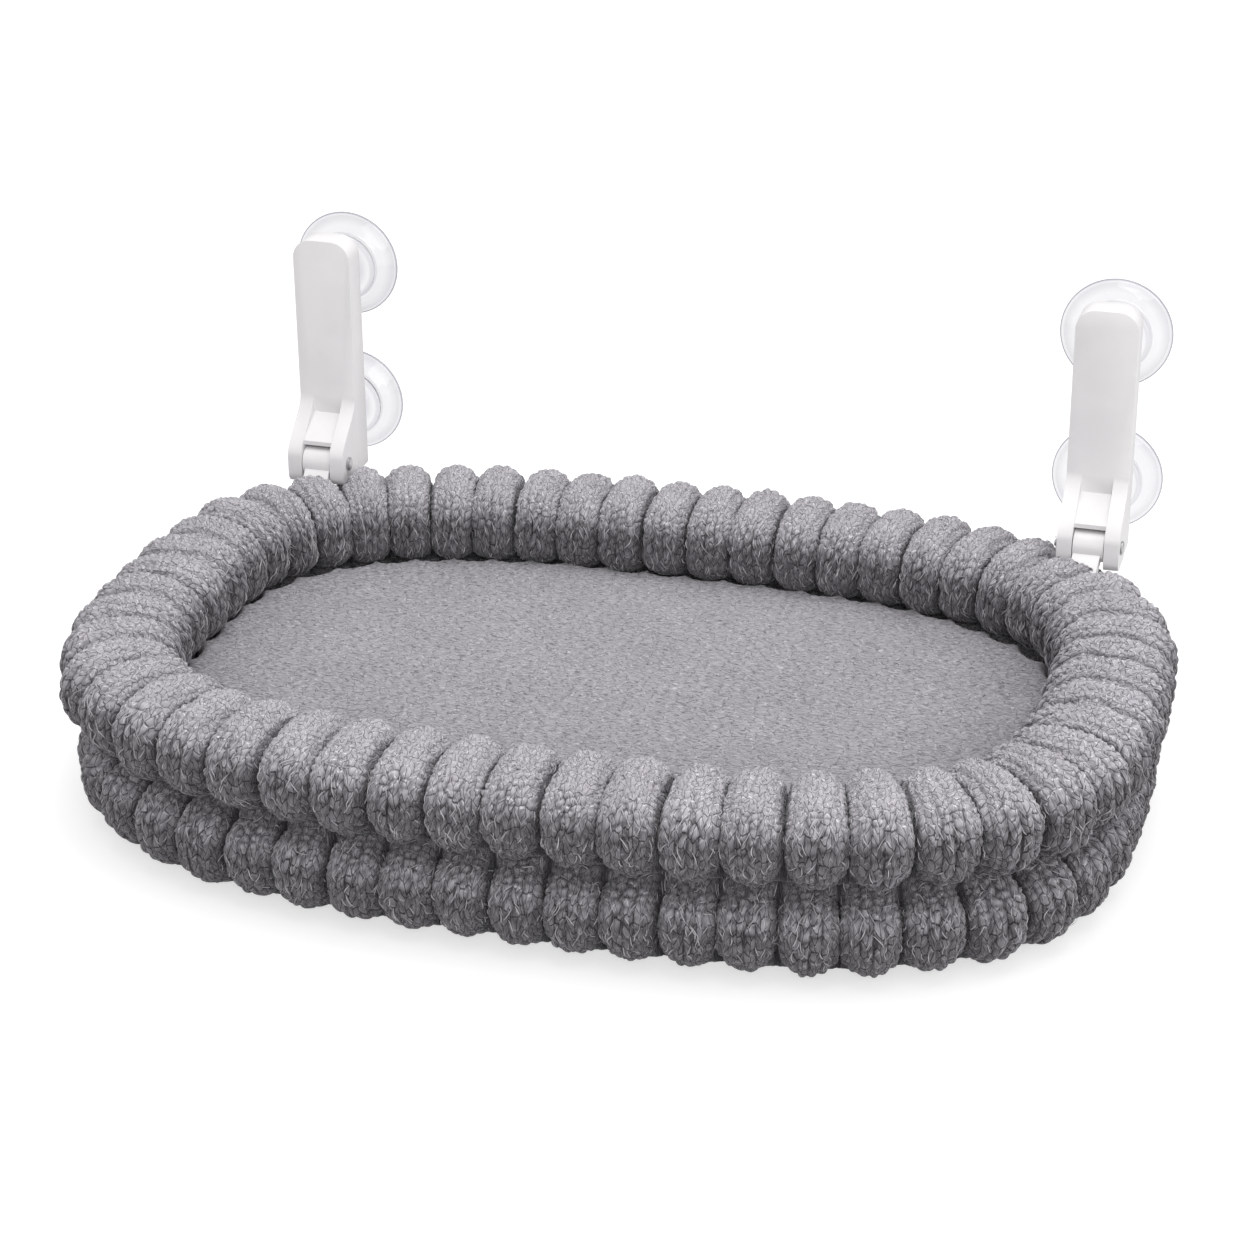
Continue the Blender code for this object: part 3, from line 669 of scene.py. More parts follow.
ringPaintedShade = {
    # painted shade on the rings: from a low to a high value, and the tone at each
    # painted shade in the grooves, low on the section and toward the other ring
    "groove": (0.15, 0.85, 0.25, 1),     # from a groove to the coil's crown
    "height": (0.05, 0.98, 0.34, 1),     # up the section
    "between": (0.40, 0.90, 1, 0.45),    # toward the other ring
    "middle": (0.08, 0.26, 1, 0),        # away from the coil's middle line
    "noRidge": (0, 0.6, 1, 0),
    "noCrest": (0.35, 0.80, 1, 0),
    "crestWander": 0.2,
    "partingAside": 0.6,                 # how clear the partings are away from the middle
    "drift": (-0.5, 0.3, 0.80, 0.96),
    "face": (-0.2, 0.3),
    "faceEnd": (0.75, 0.95, 1, 0),
    # painted shade between the ridges at the ends, and in the creases between tufts
    "ridgeShade": 0.28,
    "crease": 0.42,
    "faceCrease": 0.30,
}

cloth = {
    "rows": 10,
    "around": 44,
    "slimmer": 0.0010,
    "frames": 20,
    "furthest": 0.0024,
    # light and stretchy, because the cage's cells are only a few mm wide
    "settings": {
        "quality": 5,
        "mass": 0.0005,
        "tension_stiffness": 0.10,
        "compression_stiffness": 0.10,
        "shear_stiffness": 0.033,
        "bending_stiffness": 0.006,
        "vertex_group_mass": "seams",
        "use_pressure": True,
        "uniform_pressure_force": 60.0,
    },
}


def ringPlaces(inset, shares):
    # The bed's outline |x/a|^p + |y/b|^p = 1, drawn in by the inset, from the front centre.
    half, middle = boxOf("upper_bolster")
    half, power = half[:2], rings["power"]
    turn = np.linspace(-np.pi / 2, 3 * np.pi / 2, rings["outlineSteps"], endpoint=False)
    way = np.stack([np.cos(turn), np.sin(turn)], 1)
    point = way * ((np.abs(way / half) ** power).sum(1) ** (-1 / power))[:, None]
    normal = unit(np.sign(point) * np.abs(point / half) ** (power - 1) / half)
    line = point - normal * inset
    step = np.linalg.norm(np.roll(line, -1, 0) - line, axis=1)
    travelled = np.concatenate([[0], np.cumsum(step)])
    wanted = shares % 1 * travelled[-1]
    place, facing = (np.stack([np.interp(wanted, travelled, np.append(values[:, n], values[0, n]))
                               for n in range(2)], 1) for values in (line, normal))
    place[:, 1] += middle[1]
    return place, unit(facing)


def sectionShape(count):
    # A rounded section |x|^p + |z|^p = 1 from its lowest point outward, at equal lengths but
    # closer together above, where it shows.
    turn = np.linspace(-np.pi / 2, 3 * np.pi / 2, rings["sectionSteps"])
    x, z = (np.sign(way) * np.abs(way) ** (2 / rings["sectionPower"])
            for way in (np.cos(turn), np.sin(turn)))
    step = (np.hypot(np.diff(x) * rings["flatShare"], np.diff(z))
            * smoothStep(z[1:], *rings["upperShare"]))
    travelled = np.concatenate([[0], np.cumsum(step)])
    wanted = np.arange(count) / count * travelled[-1]
    return np.interp(wanted, travelled, x), np.interp(wanted, travelled, z)


def coilShares(places):
    # Coil number to its share of the way round, from the front centre. The pitch follows
    # 1 + stretch * cos(way round).
    even = (places + rings["phase"]) / rings["coils"]
    return even + rings["frontStretch"] * np.sin(2 * np.pi * even) / (2 * np.pi)


def rowPlaces(rows):
    even = np.arange(rows) / rows
    ease = rings["rowEase"]
    return (1 - ease) * even + ease * (0.5 - 0.5 * np.cos(np.pi * even))


def coilSwell(s):
    return (1 - np.abs(2 * s - 1) ** rings["crownPower"]) ** (1 / rings["crownPower"])


def coilForm(node, inset, seed, cells, slimmer):
    # Each coil swells from groove to groove as (1 - |2s - 1|^p)^(1/p) and varies a little in
    # size. The grooves are shallower below and above, where the rings are sewn together.
    random = np.random.default_rng(seed)
    half, middle = boxOf(node)
    coils, rows, around = rings["coils"], cells["rows"], cells["around"]
    s = rowPlaces(rows)
    place, facing = ringPlaces(inset, coilShares(np.arange(coils)[:, None] + s[None, :]).ravel())
    crown = np.tile(coilSwell(s), coils)
    x, z = sectionShape(around)
    sewn = smoothStep(np.abs(x), *rings["sewnReach"], 1, 0)
    shallower = rings["grooveDepth"] - rings["sewnDepth"]
    if node == "upper_bolster":
        atPad = np.where(x < 0, smoothStep(z, *rings["padReach"]), 0)
        atPad = atPad * (rings["grooveDepth"] - rings["padDepth"]) / shallower
        sewn = np.maximum(np.where(z < 0, sewn, 0), atPad)
    depth = rings["grooveDepth"] - shallower * sewn
    size = np.repeat(random.uniform(*rings["sizes"], coils), rows)[:, None]
    plump = np.repeat(random.uniform(-rings["plump"], rings["plump"], (coils, 2)), rows, 0)
    drop = (1 - crown)[:, None] * depth[None, :] + slimmer
    across = (rings["halfWidth"] * size - drop) * x[None, :] + plump[:, :1] * crown[:, None]
    points = np.zeros((coils * rows, around, 3))
    points[..., :2] = place[:, None, :] + facing[:, None, :] * across[..., None]
    points[..., 2] = middle[2] + (half[2] * size - drop) * z[None, :]
    return points, crown, s, z, sewn


def puffed(name, points, seams):
    # The plush cover as cloth: held along its seams, blown up from within by a light pressure,
    # without weight. Returns how far each point has moved, with the movement capped.
    scene = bpy.context.scene
    mesh = gridMesh(name, points, True)
    piece = bpy.data.objects.new(name, mesh)
    scene.collection.objects.link(piece)
    piece.vertex_groups.new(name="seams").add(seams, 1.0, "REPLACE")
    cover = piece.modifiers.new("cover", "CLOTH")
    setAll(cover.settings, cloth["settings"]).effector_weights.gravity = 0
    cover.point_cache.frame_start, cover.point_cache.frame_end = 1, cloth["frames"]
    for number in range(1, cloth["frames"] + 1):
        scene.frame_set(number)
    graph = bpy.context.evaluated_depsgraph_get()
    settled = np.empty(points.size, np.float32)
    piece.evaluated_get(graph).data.vertices.foreach_get("co", settled)
    bpy.data.objects.remove(piece, do_unlink=True)
    bpy.data.meshes.remove(mesh)
    scene.frame_set(1)
    moved = settled.reshape(points.shape) - points
    far = np.linalg.norm(moved, axis=-1, keepdims=True)
    print(name, "moved", round(float(far.mean()) * 1000, 2), "mm")
    return moved * np.minimum(1, cloth["furthest"] / np.maximum(far, 1e-9))


def puffedForm(node, inset, seed, points, s, sewn):
    # The fine surface goes where the puffed cage goes, apart from where it is sewn.
    rows, slimmer = cloth["rows"], cloth["slimmer"]
    cage, _, cageS = coilForm(node, inset, seed, cloth, slimmer)[:3]
    seams = np.arange(cage.size // 3).reshape(cage.shape[:2])[::rows].ravel().tolist()
    moved = puffed(node + "Cover", cage, seams)
    lineS = np.interp(s, np.append(cageS, 1), np.arange(rows + 1))
    placesU = (np.arange(rings["coils"])[:, None] * rows + lineS[None, :]).ravel()
    placesV = np.arange(rings["around"]) / rings["around"] * cloth["around"]
    moved = np.swapaxes(wovenPlaces(moved, placesU), 0, 1)
    moved = np.swapaxes(wovenPlaces(moved, placesV), 0, 1)
    slim = coilForm(node, inset, seed, rings, slimmer)[0]
    return points + (slim + moved - points) * (1 - sewn)[None, :, None]


def coilArc(s):
    # Share of the way along the cloth from groove to groove.
    swell = coilSwell(s)
    rise = np.concatenate([[0], np.cumsum(np.hypot(np.diff(s) * rings["coilLength"],
                                                   np.diff(swell) * rings["grooveDepth"]))])
    tail = np.hypot((1 - s[-1]) * rings["coilLength"], swell[-1] * rings["grooveDepth"])
    return rise / (rise[-1] + tail)


def ringSurface(node, inset, seed):
    # The puffed coils with tufts along their normals: long ones down the sides and round ones
    # on the crest. Also the pile's tone with painted shade in the creases, the grooves, low on the
    # section and toward the other ring, and how clear the painted-shade partings are.
    random = np.random.default_rng(seed)
    coils, rows, around = rings["coils"], rings["rows"], rings["around"]
    points, crown, s, z, sewn = coilForm(node, inset, seed, rings, 0.0)
    points = puffedForm(node, inset, seed, points, s, sewn)
    arc = np.tile(coilArc(s), coils)
    column = np.repeat(np.repeat(np.arange(coils), rows) + arc, around).reshape(-1, around)
    row = np.tile(np.arange(around) / around, (coils * rows, 1))

    def soft(cellsX, cellsY):
        return softNoise(column * cellsX, row * cellsY, coils * cellsX, cellsY, random)

    def tufted(count, driftShare, lean, scatter):
        return tuftField(tuftX, row * count + driftShare * drift, coils * tufts["across"], count,
                         lean, scatter, random)
    wander = soft(*tufts["noise"])
    drift = soft(*tufts["noise"])
    tuftX = column * tufts["across"] + tufts["wander"] * wander
    sides, sideTone = tufted(*tufts["sides"])
    crest, crestTone = tufted(*tufts["crest"])
    share = smoothStep(z + tufts["crestWander"] * wander, *tufts["crestFrom"])
    even = tufts["evenTone"]
    pile = ((sides + share * (crest - sides))
            * (even + (1 - even) * (sideTone + share * (crestTone - sideTone))))
    seam = ((tufts["seamShare"] + (1 - tufts["seamShare"]) * crown)[:, None]
            * (1 - tufts["sewnLoss"] * sewn)[None, :])
    everywhere, right, left = tufts["ridgeShares"]
    atEnds = (everywhere + right * smoothStep(points[..., 0], *tufts["ridgeEnds"])
              + left * smoothStep(-points[..., 0], *tufts["ridgeEnds"]))
    ridge = np.abs(np.sin(np.pi * tuftX))
    rise = tufts["sideRise"] + tufts["crestRise"] * share
    lift = (tufts["height"] * (pile - tufts["sunk"]) * seam * rise
            + tufts["lumpHeight"] * soft(*tufts["lumps"])
            + tufts["ridgeHeight"] * (ridge - tufts["ridgeSunk"]) * seam * atEnds)
    points = points + gridNormals(points, True) * lift[..., None]
    low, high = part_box(node)
    floor, toOther = low.z - rings["overlap"], -z
    if node == "upper_bolster":
        clearOfBrackets(points)
    else:
        floor, toOther = rings["floorGap"], z
        points[..., 2] = np.minimum(points[..., 2], high.z + rings["overlap"])
    points[..., 2] = np.maximum(points[..., 2], floor)

    # painted shade: darker low on the section and toward the other ring
    light = (smoothStep(z, *ringPaintedShade["height"]) * smoothStep(toOther, *ringPaintedShade["between"]))[None, :]
    # painted shade in the grooves, and between the ridges at the ends
    shade = (smoothStep(crown, *ringPaintedShade["groove"])[:, None]
             * (1 - ringPaintedShade["ridgeShade"] * atEnds * smoothStep(ridge, *ringPaintedShade["noRidge"])))
    middle = smoothStep(np.abs(arc - 0.5), *ringPaintedShade["middle"])[:, None]
    aside = ringPaintedShade["partingAside"]
    parting = (smoothStep(z + ringPaintedShade["crestWander"] * wander, *ringPaintedShade["noCrest"])
               * smoothStep(drift, *ringPaintedShade["drift"]) * (aside + (1 - aside) * middle))
    face = smoothStep(z, *ringPaintedShade["face"]) * smoothStep(z, *ringPaintedShade["faceEnd"])
    # painted shade in the creases between tufts, deeper on the middle of the face
    crease = ringPaintedShade["crease"] + ringPaintedShade["faceCrease"] * middle * face[None, :]
    return points, (1 - crease * (1 - pile)) * shade * light, parting


def ringUv():
    coils, around = rings["coils"], rings["around"]
    arc = coilArc(rowPlaces(rings["rows"]))
    u = (np.arange(coils)[:, None] + arc[None, :]).ravel() * rings["coilArc"]
    u = np.append(u, coils * rings["coilArc"])
    v = np.arange(around + 1) / around
    length = smoothStep(0.5 - np.abs(v - 0.5), *rings["lockChange"], *rings["lockLengths"])
    locks = np.cumsum(rings["coilRound"] / around / length)
    return {"cloth": (u, v * rings["coilRound"]), "locks": (u, locks)}


def addRing(name, node, inset, seed):
    points, pile, parting = ringSurface(node, inset, seed)
    mesh = gridMesh(name, points, True, ringUv())
    # the pile tone, with its painted shade
    storeShare(mesh, "pile", pile)
    storeShare(mesh, "parting", parting)
    piece = addPiece(name, mesh, "plush", "bed", [node])
    return points


def sampled(values, u, v, closed):
    # Values of a grid at fractional places.
    if not closed:
        u, v = (np.clip(places, 0, count - 1.001) for places, count in zip((u, v), values.shape))
    i, j = np.floor(u).astype(int), np.floor(v).astype(int)
    return gridBlend(values, i, j, (u - i)[..., None], (v - j)[..., None])


yarnEnd = {
    "girths": (0.3, 0.75, 1, 1, 0.95, 0.7, 0.25),   # at each point along it
    "sides": 3,
    "lengths": (0.6, 1.3),
    "crest": (0.45, 0.9),    # of the surface's slope, where the ends curl
    "crestBend": 2.2,
    "crestShorter": 0.45,
    "leastLean": 0.05,
    "sunk": 0.25,
    "floorGap": 0.0008,
}


def strandMesh(name, points, closed, pitch, count, seed, shape):
    # Yarn ends: each follows the surface from a random spot along a bent line. It rises from the
    # pile and sinks back, and tapers to both ends.
    random = np.random.default_rng(seed)
    rows, columns = points.shape[:2]
    u, v = random.uniform(0, rows, count), random.uniform(*shape["band"], count) * columns
    normal = gridNormals(points, closed)
    crest = smoothStep(sampled(normal, u, v, closed)[:, 2], *yarnEnd["crest"]) * shape["curl"]
    lean = random.choice([-1, 1], count) * random.uniform(yarnEnd["leastLean"], shape["lean"], count)
    heading = lean + crest * random.uniform(-np.pi, np.pi, count)
    bend = random.uniform(-1, 1, count) * (shape["bend"] + yarnEnd["crestBend"] * crest)
    length = (shape["length"] * random.uniform(*yarnEnd["lengths"], count)
              * (1 - yarnEnd["crestShorter"] * crest))
    loose = random.uniform(0, 1, count) < shape["loose"]
    steps, sides = len(yarnEnd["girths"]), yarnEnd["sides"]
    t = np.linspace(0, 1, steps)
    way = heading[:, None] + bend[:, None] * (t - 0.5)[None, :]
    stride = length[:, None] / (steps - 1)
    pathU = u[:, None] + np.cumsum(np.sin(way), 1) * stride / pitch[0]
    pathV = v[:, None] + np.cumsum(np.cos(way), 1) * stride / pitch[1]
    face = unit(sampled(normal, pathU, pathV, closed))
    lift = (shape["lift"] * (np.sin(np.pi * t)[None, :] - yarnEnd["sunk"])
            + loose[:, None] * shape["stray"] * t[None, :] ** 2)
    spine = sampled(points, pathU, pathV, closed) + face * lift[..., None]
    spine[:, 1:-1] = (spine[:, :-2] + 2 * spine[:, 1:-1] + spine[:, 2:]) / 4
    clear = spine[..., 2].min(1) > yarnEnd["floorGap"]
    for sign in (-1, 1):
        aside = np.abs(spine[..., 0] - sign * hinge["pinX"]).min(1)
        reach = np.hypot(spine[..., 1] - hinge["pinY"], spine[..., 2] - hinge["pinZ"]).min(1)
        clear &= ((aside > hinge["halfWidth"] + hinge["strandAside"])
                  | (reach > hinge["strandReach"]))
    spine, face, loose = spine[clear], face[clear], loose[clear]
    along = unit(np.gradient(spine, axis=1))
    side = unit(np.cross(along, face))
    other = np.cross(side, along)
    girth = np.array(yarnEnd["girths"])[None, :] * np.where(loose, 0.5, 1)[:, None]
    thin = (shape["radius"] * girth)[..., None]
    rim = np.stack([spine + thin * (np.cos(a) * side + np.sin(a) * other)
                    for a in np.arange(sides) * 2 * np.pi / sides], 2)
    base = (np.arange(len(spine)) * steps * sides)[:, None, None]
    quads = (base + gridQuads(steps, sides, False, True)[:, [0, 3, 2, 1]]).reshape(-1, 4)
    first = np.arange(sides)
    ends = np.concatenate([base[:, 0] + first[::-1], base[:, 0] + first + (steps - 1) * sides])
    return meshFrom(name, rim.reshape(-1, 3), quads, ends)


strands = {
    "length": 0.0080,
    "lift": 0.0006,
    "radius": 0.00028,
    "lean": 0.45,
    "bend": 0.9,
    "curl": 0.6,
    "loose": 0.02,
    "stray": 0.0012,
    "band": (0.10, 0.90),
    "perCoil": 86,
    "seedShift": 20,
}

for ring, node, inset, seed in rings["pair"]:
    surface = addRing(ring + "Ring", node, inset, seed)
    pitch = (rings["coilLength"] / rings["rows"], rings["coilRound"] / rings["around"])
    mesh = strandMesh(ring + "Strands", surface, True, pitch, rings["coils"] * strands["perCoil"],
                      seed + strands["seedShift"], strands)
    addPiece(mesh.name, mesh, "fibre", "bed")
print("plush rings made")

# Fleece pad

pad = {
    "cells": (340, 210),
    "inset": 0.0580,
    "flankInset": 0.0590,
    "reachFrom": 0.93,       # where the rim starts to fill the grooves
    "sideBulge": 0.0025,
    "edgeRound": 0.0022,
    "crown": 0.0018,
    "seed": 41,
    "tuftLength": 0.0052,
    "tuftWidth": 0.0034,
    "tuftHeight": 0.0006,
    "tuftLean": 0.35,
    "tuftScatter": 0.44,
    "tuftTable": (118, 92),
    "tuftSunk": 0.8,
    # cells a metre, and the size of the noise's table
    "wanders": ((60, 97, 89), (45, 97, 89)),
    "wanderX": 0.5,
    "wanderY": 0.9,
    "waves": (30, 61, 53),
    "waveHeight": 0.0005,
    # painted shade in the creases between tufts, and toward the rim beside the coils
    "creaseTone": 0.58,
    "edgeTone": (0.72, 1.0, 1, 0.74),
    "lockLength": 0.0062,
    "wallShares": (0.15, 0.35, 0.55, 0.75, 0.9, 1.0),
    "wallTone": 0.6,
}


def easedSquare(cellsX, cellsY):
    # A square grid eased onto the bed's outline: each point keeps its way from the middle, and
    # the square's edge lands on |x/a|^p + |y/b|^p = 1.
    p = np.linspace(-1, 1, cellsX + 1)[:, None]
    q = np.linspace(-1, 1, cellsY + 1)[None, :]
    power = rings["power"]
    size = np.maximum(np.abs(p), np.abs(q))
    spread = (np.abs(p) ** power + np.abs(q) ** power) ** (1 / power)
    ease = np.where(spread > 1e-9, size / np.maximum(spread, 1e-9), 1)
    return size, p * ease, q * ease


def padForm():
    # The top falls off near the edge, which reaches into the coils' grooves.
    half, middle = boxOf("upper_bolster")
    halfX, halfY = half[:2] - pad["inset"]
    size, p, q = easedSquare(*pad["cells"])
    x, y = halfX * p, halfY * q + middle[1]
    shares = np.linspace(0, 1, rings["outlineSteps"], endpoint=False)
    flank, facing = ringPlaces(pad["flankInset"], shares)
    turn = np.unwrap(np.arctan2(flank[:, 1] - middle[1], flank[:, 0]))
    places = np.arctan2(y - middle[1], x)
    places = turn[0] + (places - turn[0]) % (2 * np.pi)
    coil = np.interp(places, turn, shares)
    # share of the way round back to coil number, by one step of Newton's method
    stretch = rings["frontStretch"]
    even = coil - stretch * np.sin(2 * np.pi * coil) / (2 * np.pi)
    even -= ((even + stretch * np.sin(2 * np.pi * even) / (2 * np.pi) - coil)
             / (1 + stretch * np.cos(2 * np.pi * even)))
    swell = coilSwell((even * rings["coils"] - rings["phase"]) % 1)
    extra = (1 - swell) * rings["padDepth"] * smoothStep(size, pad["reachFrom"], 1) ** 2
    x = x + extra * np.interp(places, turn, facing[:, 0])
    y = y + extra * np.interp(places, turn, facing[:, 1])
    fall = np.clip(1 - (1 - size) * halfY / pad["edgeRound"], 0, 1)
    low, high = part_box("bed_pad")
    z = high.z - pad["crown"] * size ** 4 - pad["edgeRound"] * (1 - np.sqrt(1 - fall ** 2 * 0.99))
    return np.stack([x, y, z], -1), size, low.z


def padFleece(points, size):
    # Curly fleece: small round tufts of no set direction over soft waves, and a tone with painted
    # shade in the creases between tufts and toward the rim.
    random = np.random.default_rng(pad["seed"])
    x, y = points[..., 0], points[..., 1]

    def soft(cells, tableX, tableY):
        return softNoise(x * cells, y * cells, tableX, tableY, random)
    wanderX, wanderY = (soft(*kind) for kind in pad["wanders"])
    pile, tone = tuftField(y / pad["tuftWidth"] + pad["wanderY"] * wanderY,
                           x / pad["tuftLength"] + pad["wanderX"] * wanderX, *pad["tuftTable"],
                           pad["tuftLean"], pad["tuftScatter"], random)
    points[..., 2] += (pad["tuftHeight"] * (pile - pad["tuftSunk"])
                       + pad["waveHeight"] * soft(*pad["waves"]))
    pile *= tufts["evenTone"] + (1 - tufts["evenTone"]) * tone
    # painted shade in the creases and toward the rim
    low = pad["creaseTone"]
    return (low + (1 - low) * pile) * smoothStep(size, *pad["edgeTone"])


def closedPad(points, floor):
    # The top grid, a wall of loops down from its rim, and a flat bottom.
    count = points.size // 3
    top = gridQuads(*points.shape[:2], False, False)
    rim = gridRim(np.arange(count).reshape(points.shape[:2]))
    rimPoints = points.reshape(-1, 3)[rim]
    middle = rimPoints.mean(0)
    away = unit((rimPoints - middle) * (1, 1, 0))
    loops, rows = [], [rim]
    for share in pad["wallShares"]:
        ring = rimPoints + away * pad["sideBulge"] * math.sin(math.pi * share)
        ring[:, 2] = rimPoints[:, 2] * (1 - share) + floor * share
        rows.append(count + len(loops) * len(rim) + np.arange(len(rim)))
        loops.append(ring)
    sides = [np.stack([a, b, np.roll(b, -1), np.roll(a, -1)], -1) for a, b in zip(rows, rows[1:])]
    everything = np.vstack([points.reshape(-1, 3), *loops, [[middle[0], middle[1], floor]]])
    centre = np.full(len(rim), len(everything) - 1)
    fan = np.stack([rows[-1], centre, np.roll(rows[-1], -1)], -1)
    return everything, np.concatenate([top, *sides]), fan


def addPad():
    points, size, floor = padForm()
    pile = padFleece(points, size).ravel()
    everything, quads, fan = closedPad(points, floor)
    mesh = meshFrom("fleecePad", everything, quads, fan)
    corners = np.concatenate([quads.ravel(), fan.ravel()])
    flat = everything[corners][:, [1, 0]] + 1
    storeUv(mesh, "cloth", flat)
    storeUv(mesh, "locks", flat / np.array([1, pad["lockLength"]]))
    walls = np.full(len(everything) - pile.size, pad["wallTone"])
    storeShare(mesh, "pile", np.append(pile, walls))
    piece = addPiece("fleecePad", mesh, "pad", "bed", ["bed_pad"])
    return points


padStrands = {
    "length": 0.0050,
    "lift": 0.0003,
    "radius": 0.00016,
    "lean": 1.6,
    "bend": 2.4,
    "curl": 0.0,
    "loose": 0.0,
    "stray": 0.0,
    "band": (0, 1),
    "spread": (0.445, 0.275),    # the pad's top
    "count": 2600,
    "seed": 71,
}

surface = addPad()
pitch = tuple(np.array(padStrands["spread"]) / pad["cells"])
mesh = strandMesh("padStrands", surface, False, pitch, padStrands["count"], padStrands["seed"],
                  padStrands)
addPiece(mesh.name, mesh, "fibre", "bed")
print("pad made")

# Brackets, arms and hidden frame

brackets = {
    "mergeDistance": 0.00001,
    "flatAngle": 0.3,
    "sharpAngle": 34,
    "moulded": (
        # piece, node, whether it turns with the bracket, round of its edges
        ("casing", "bracket_shell_", True, 0.0005),
        ("casingBack", "bracket_back_", True, 0.0002),
        ("arm", "hinge_arm_", False, 0.0005),
    ),
    "plain": {"frame_tube": "tube", "frame_joiner": "joiner", "base_board": "board",
              "hinge_pin": "pin", "pin_retainer": "pin", "upper_screw": "pin",
              "lower_screw": "pin"},
}


def softened(name, node, body, look, width):
    # A merged copy of a solid with a small round on each edge, as a moulding has.
    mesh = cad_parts[node].data.copy()
    mesh.name = name
    work = bmesh.new()
    work.from_mesh(mesh)
    bmesh.ops.remove_doubles(work, verts=work.verts, dist=brackets["mergeDistance"])
    bmesh.ops.dissolve_limit(work, angle_limit=math.radians(brackets["flatAngle"]),
                             verts=work.verts, edges=work.edges)
    work.to_mesh(mesh)
    work.free()
    mesh.shade_smooth()
    mesh.set_sharp_from_angle(angle=math.radians(brackets["sharpAngle"]))
    piece = addPiece(name, mesh, look, body, [node])
    setAll(piece.modifiers.new("edge", "BEVEL"), {
        "width": width, "segments": 3, "limit_method": "ANGLE",
        "angle_limit": math.radians(brackets["sharpAngle"]), "harden_normals": True})


for side in ("left", "right"):
    for name, node, turns, width in brackets["moulded"]:
        softened(name + side.title(), node + side, side + "_bracket" if turns else "bed", "white",
                 width)

cover = {
    "cells": (84, 50),
    "thickness": 0.0008,
    "hem": 0.0003,
    "hemFrom": 0.95,
}


def addCover():
    # A woven panel drawn flat under the board: the grid is eased onto the cover's outline, and
    # its hem hangs a little lower.
    half, middle = boxOf("bottom_cover")
    halfX, halfY = float(half[0]), float(half[1])
    size, p, q = easedSquare(*cover["cells"])
    points = np.stack([halfX * p, halfY * q + middle[1],
                       middle[2] - cover["hem"] * smoothStep(size, cover["hemFrom"], 1)], -1)
    mesh = gridMesh("coverPanel", points, False)
    piece = addPiece("coverPanel", mesh, "cover", "bed", ["bottom_cover"])
    setAll(piece.modifiers.new("thickness", "SOLIDIFY"), {"thickness": cover["thickness"],
                                                          "offset": 0})


addCover()
for node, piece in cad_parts.items():
    for start, look in brackets["plain"].items():
        if node.startswith(start):
            piece.data.materials.clear()
            piece.data.materials.append(looks[look])
print("brackets made")

# Suction cups

cup = {
    "radius": 0.030,
    "rimWidth": 0.003,
    "rim": 0.0010,
    "dish": 0.0038,
    "coneHeight": 0.0065,
    "hubRadius": 0.019,
    "hubHeight": 0.0100,
    "bossRadius": 0.009,
    "neckRadius": 0.005,
    "headRadius": 0.008,
    "headThickness": 0.003,
    "plateBack": 0.024,
    "plateThickness": 0.0022,
    "gap": 0.0003,
    "steps": 96,
    "curveSteps": 5,
    "sharpAngle": 40,
}


def roundedProfile(corners):
    # Each corner (radius, height, rounding, share) becomes a short quadratic curve, and the
    # share runs along the profile.
    points, shares = [], []
    for n, (r, h, rounding, share) in enumerate(corners):
        here = np.array([r, h])
        curve = [here]
        if rounding:
            toBefore, toAfter = (np.array(corners[n + step][:2]) - here for step in (-1, 1))
            near = min(rounding, np.linalg.norm(toBefore) * 0.45, np.linalg.norm(toAfter) * 0.45)
            start, end = here + unit(toBefore) * near, here + unit(toAfter) * near
            curve = [(1 - t) ** 2 * start + 2 * t * (1 - t) * here + t * t * end
                     for t in np.linspace(0, 1, cup["curveSteps"])]
        points += curve
        shares += [share] * len(curve)
    return np.array(points), np.array(shares)


def turnedMesh(name, profile, shares, centre):
    # A profile of (radius, height) turned about the cups' axis, with its two ends on the axis.
    axis, side = np.array([0, -1.0, 0]), np.array([-1.0, 0, 0])
    steps = cup["steps"]
    turn = np.arange(steps) * 2 * np.pi / steps
    around = np.cos(turn)[:, None] * side + np.sin(turn)[:, None] * np.cross(axis, side)
    inner = profile[1:-1]
    points = np.array(centre) + inner[:, None, 1:] * axis + inner[:, None, :1] * around[None]
    ends = np.array(centre) + profile[[0, -1], 1][:, None] * axis
    last = len(inner) * steps
    spot = np.arange(steps)
    near = np.roll(spot, -1)
    fans = np.concatenate([np.stack([np.full(steps, last), spot, near], -1),
                           np.stack([np.full(steps, last + 1), last - steps + near,
                                     last - steps + spot], -1)])
    mesh = meshFrom(name, np.vstack([points.reshape(-1, 3), ends]),
                    gridQuads(len(inner), steps, False, True), fans)
    work = bmesh.new()
    work.from_mesh(mesh)
    bmesh.ops.recalc_face_normals(work, faces=work.faces)
    work.to_mesh(mesh)
    work.free()
    # each point's share of the painted edge shade
    storeShare(mesh, "edge", np.append(np.repeat(shares[1:-1], steps), shares[[0, -1]]))
    mesh.set_sharp_from_angle(angle=math.radians(cup["sharpAngle"]))
    return mesh


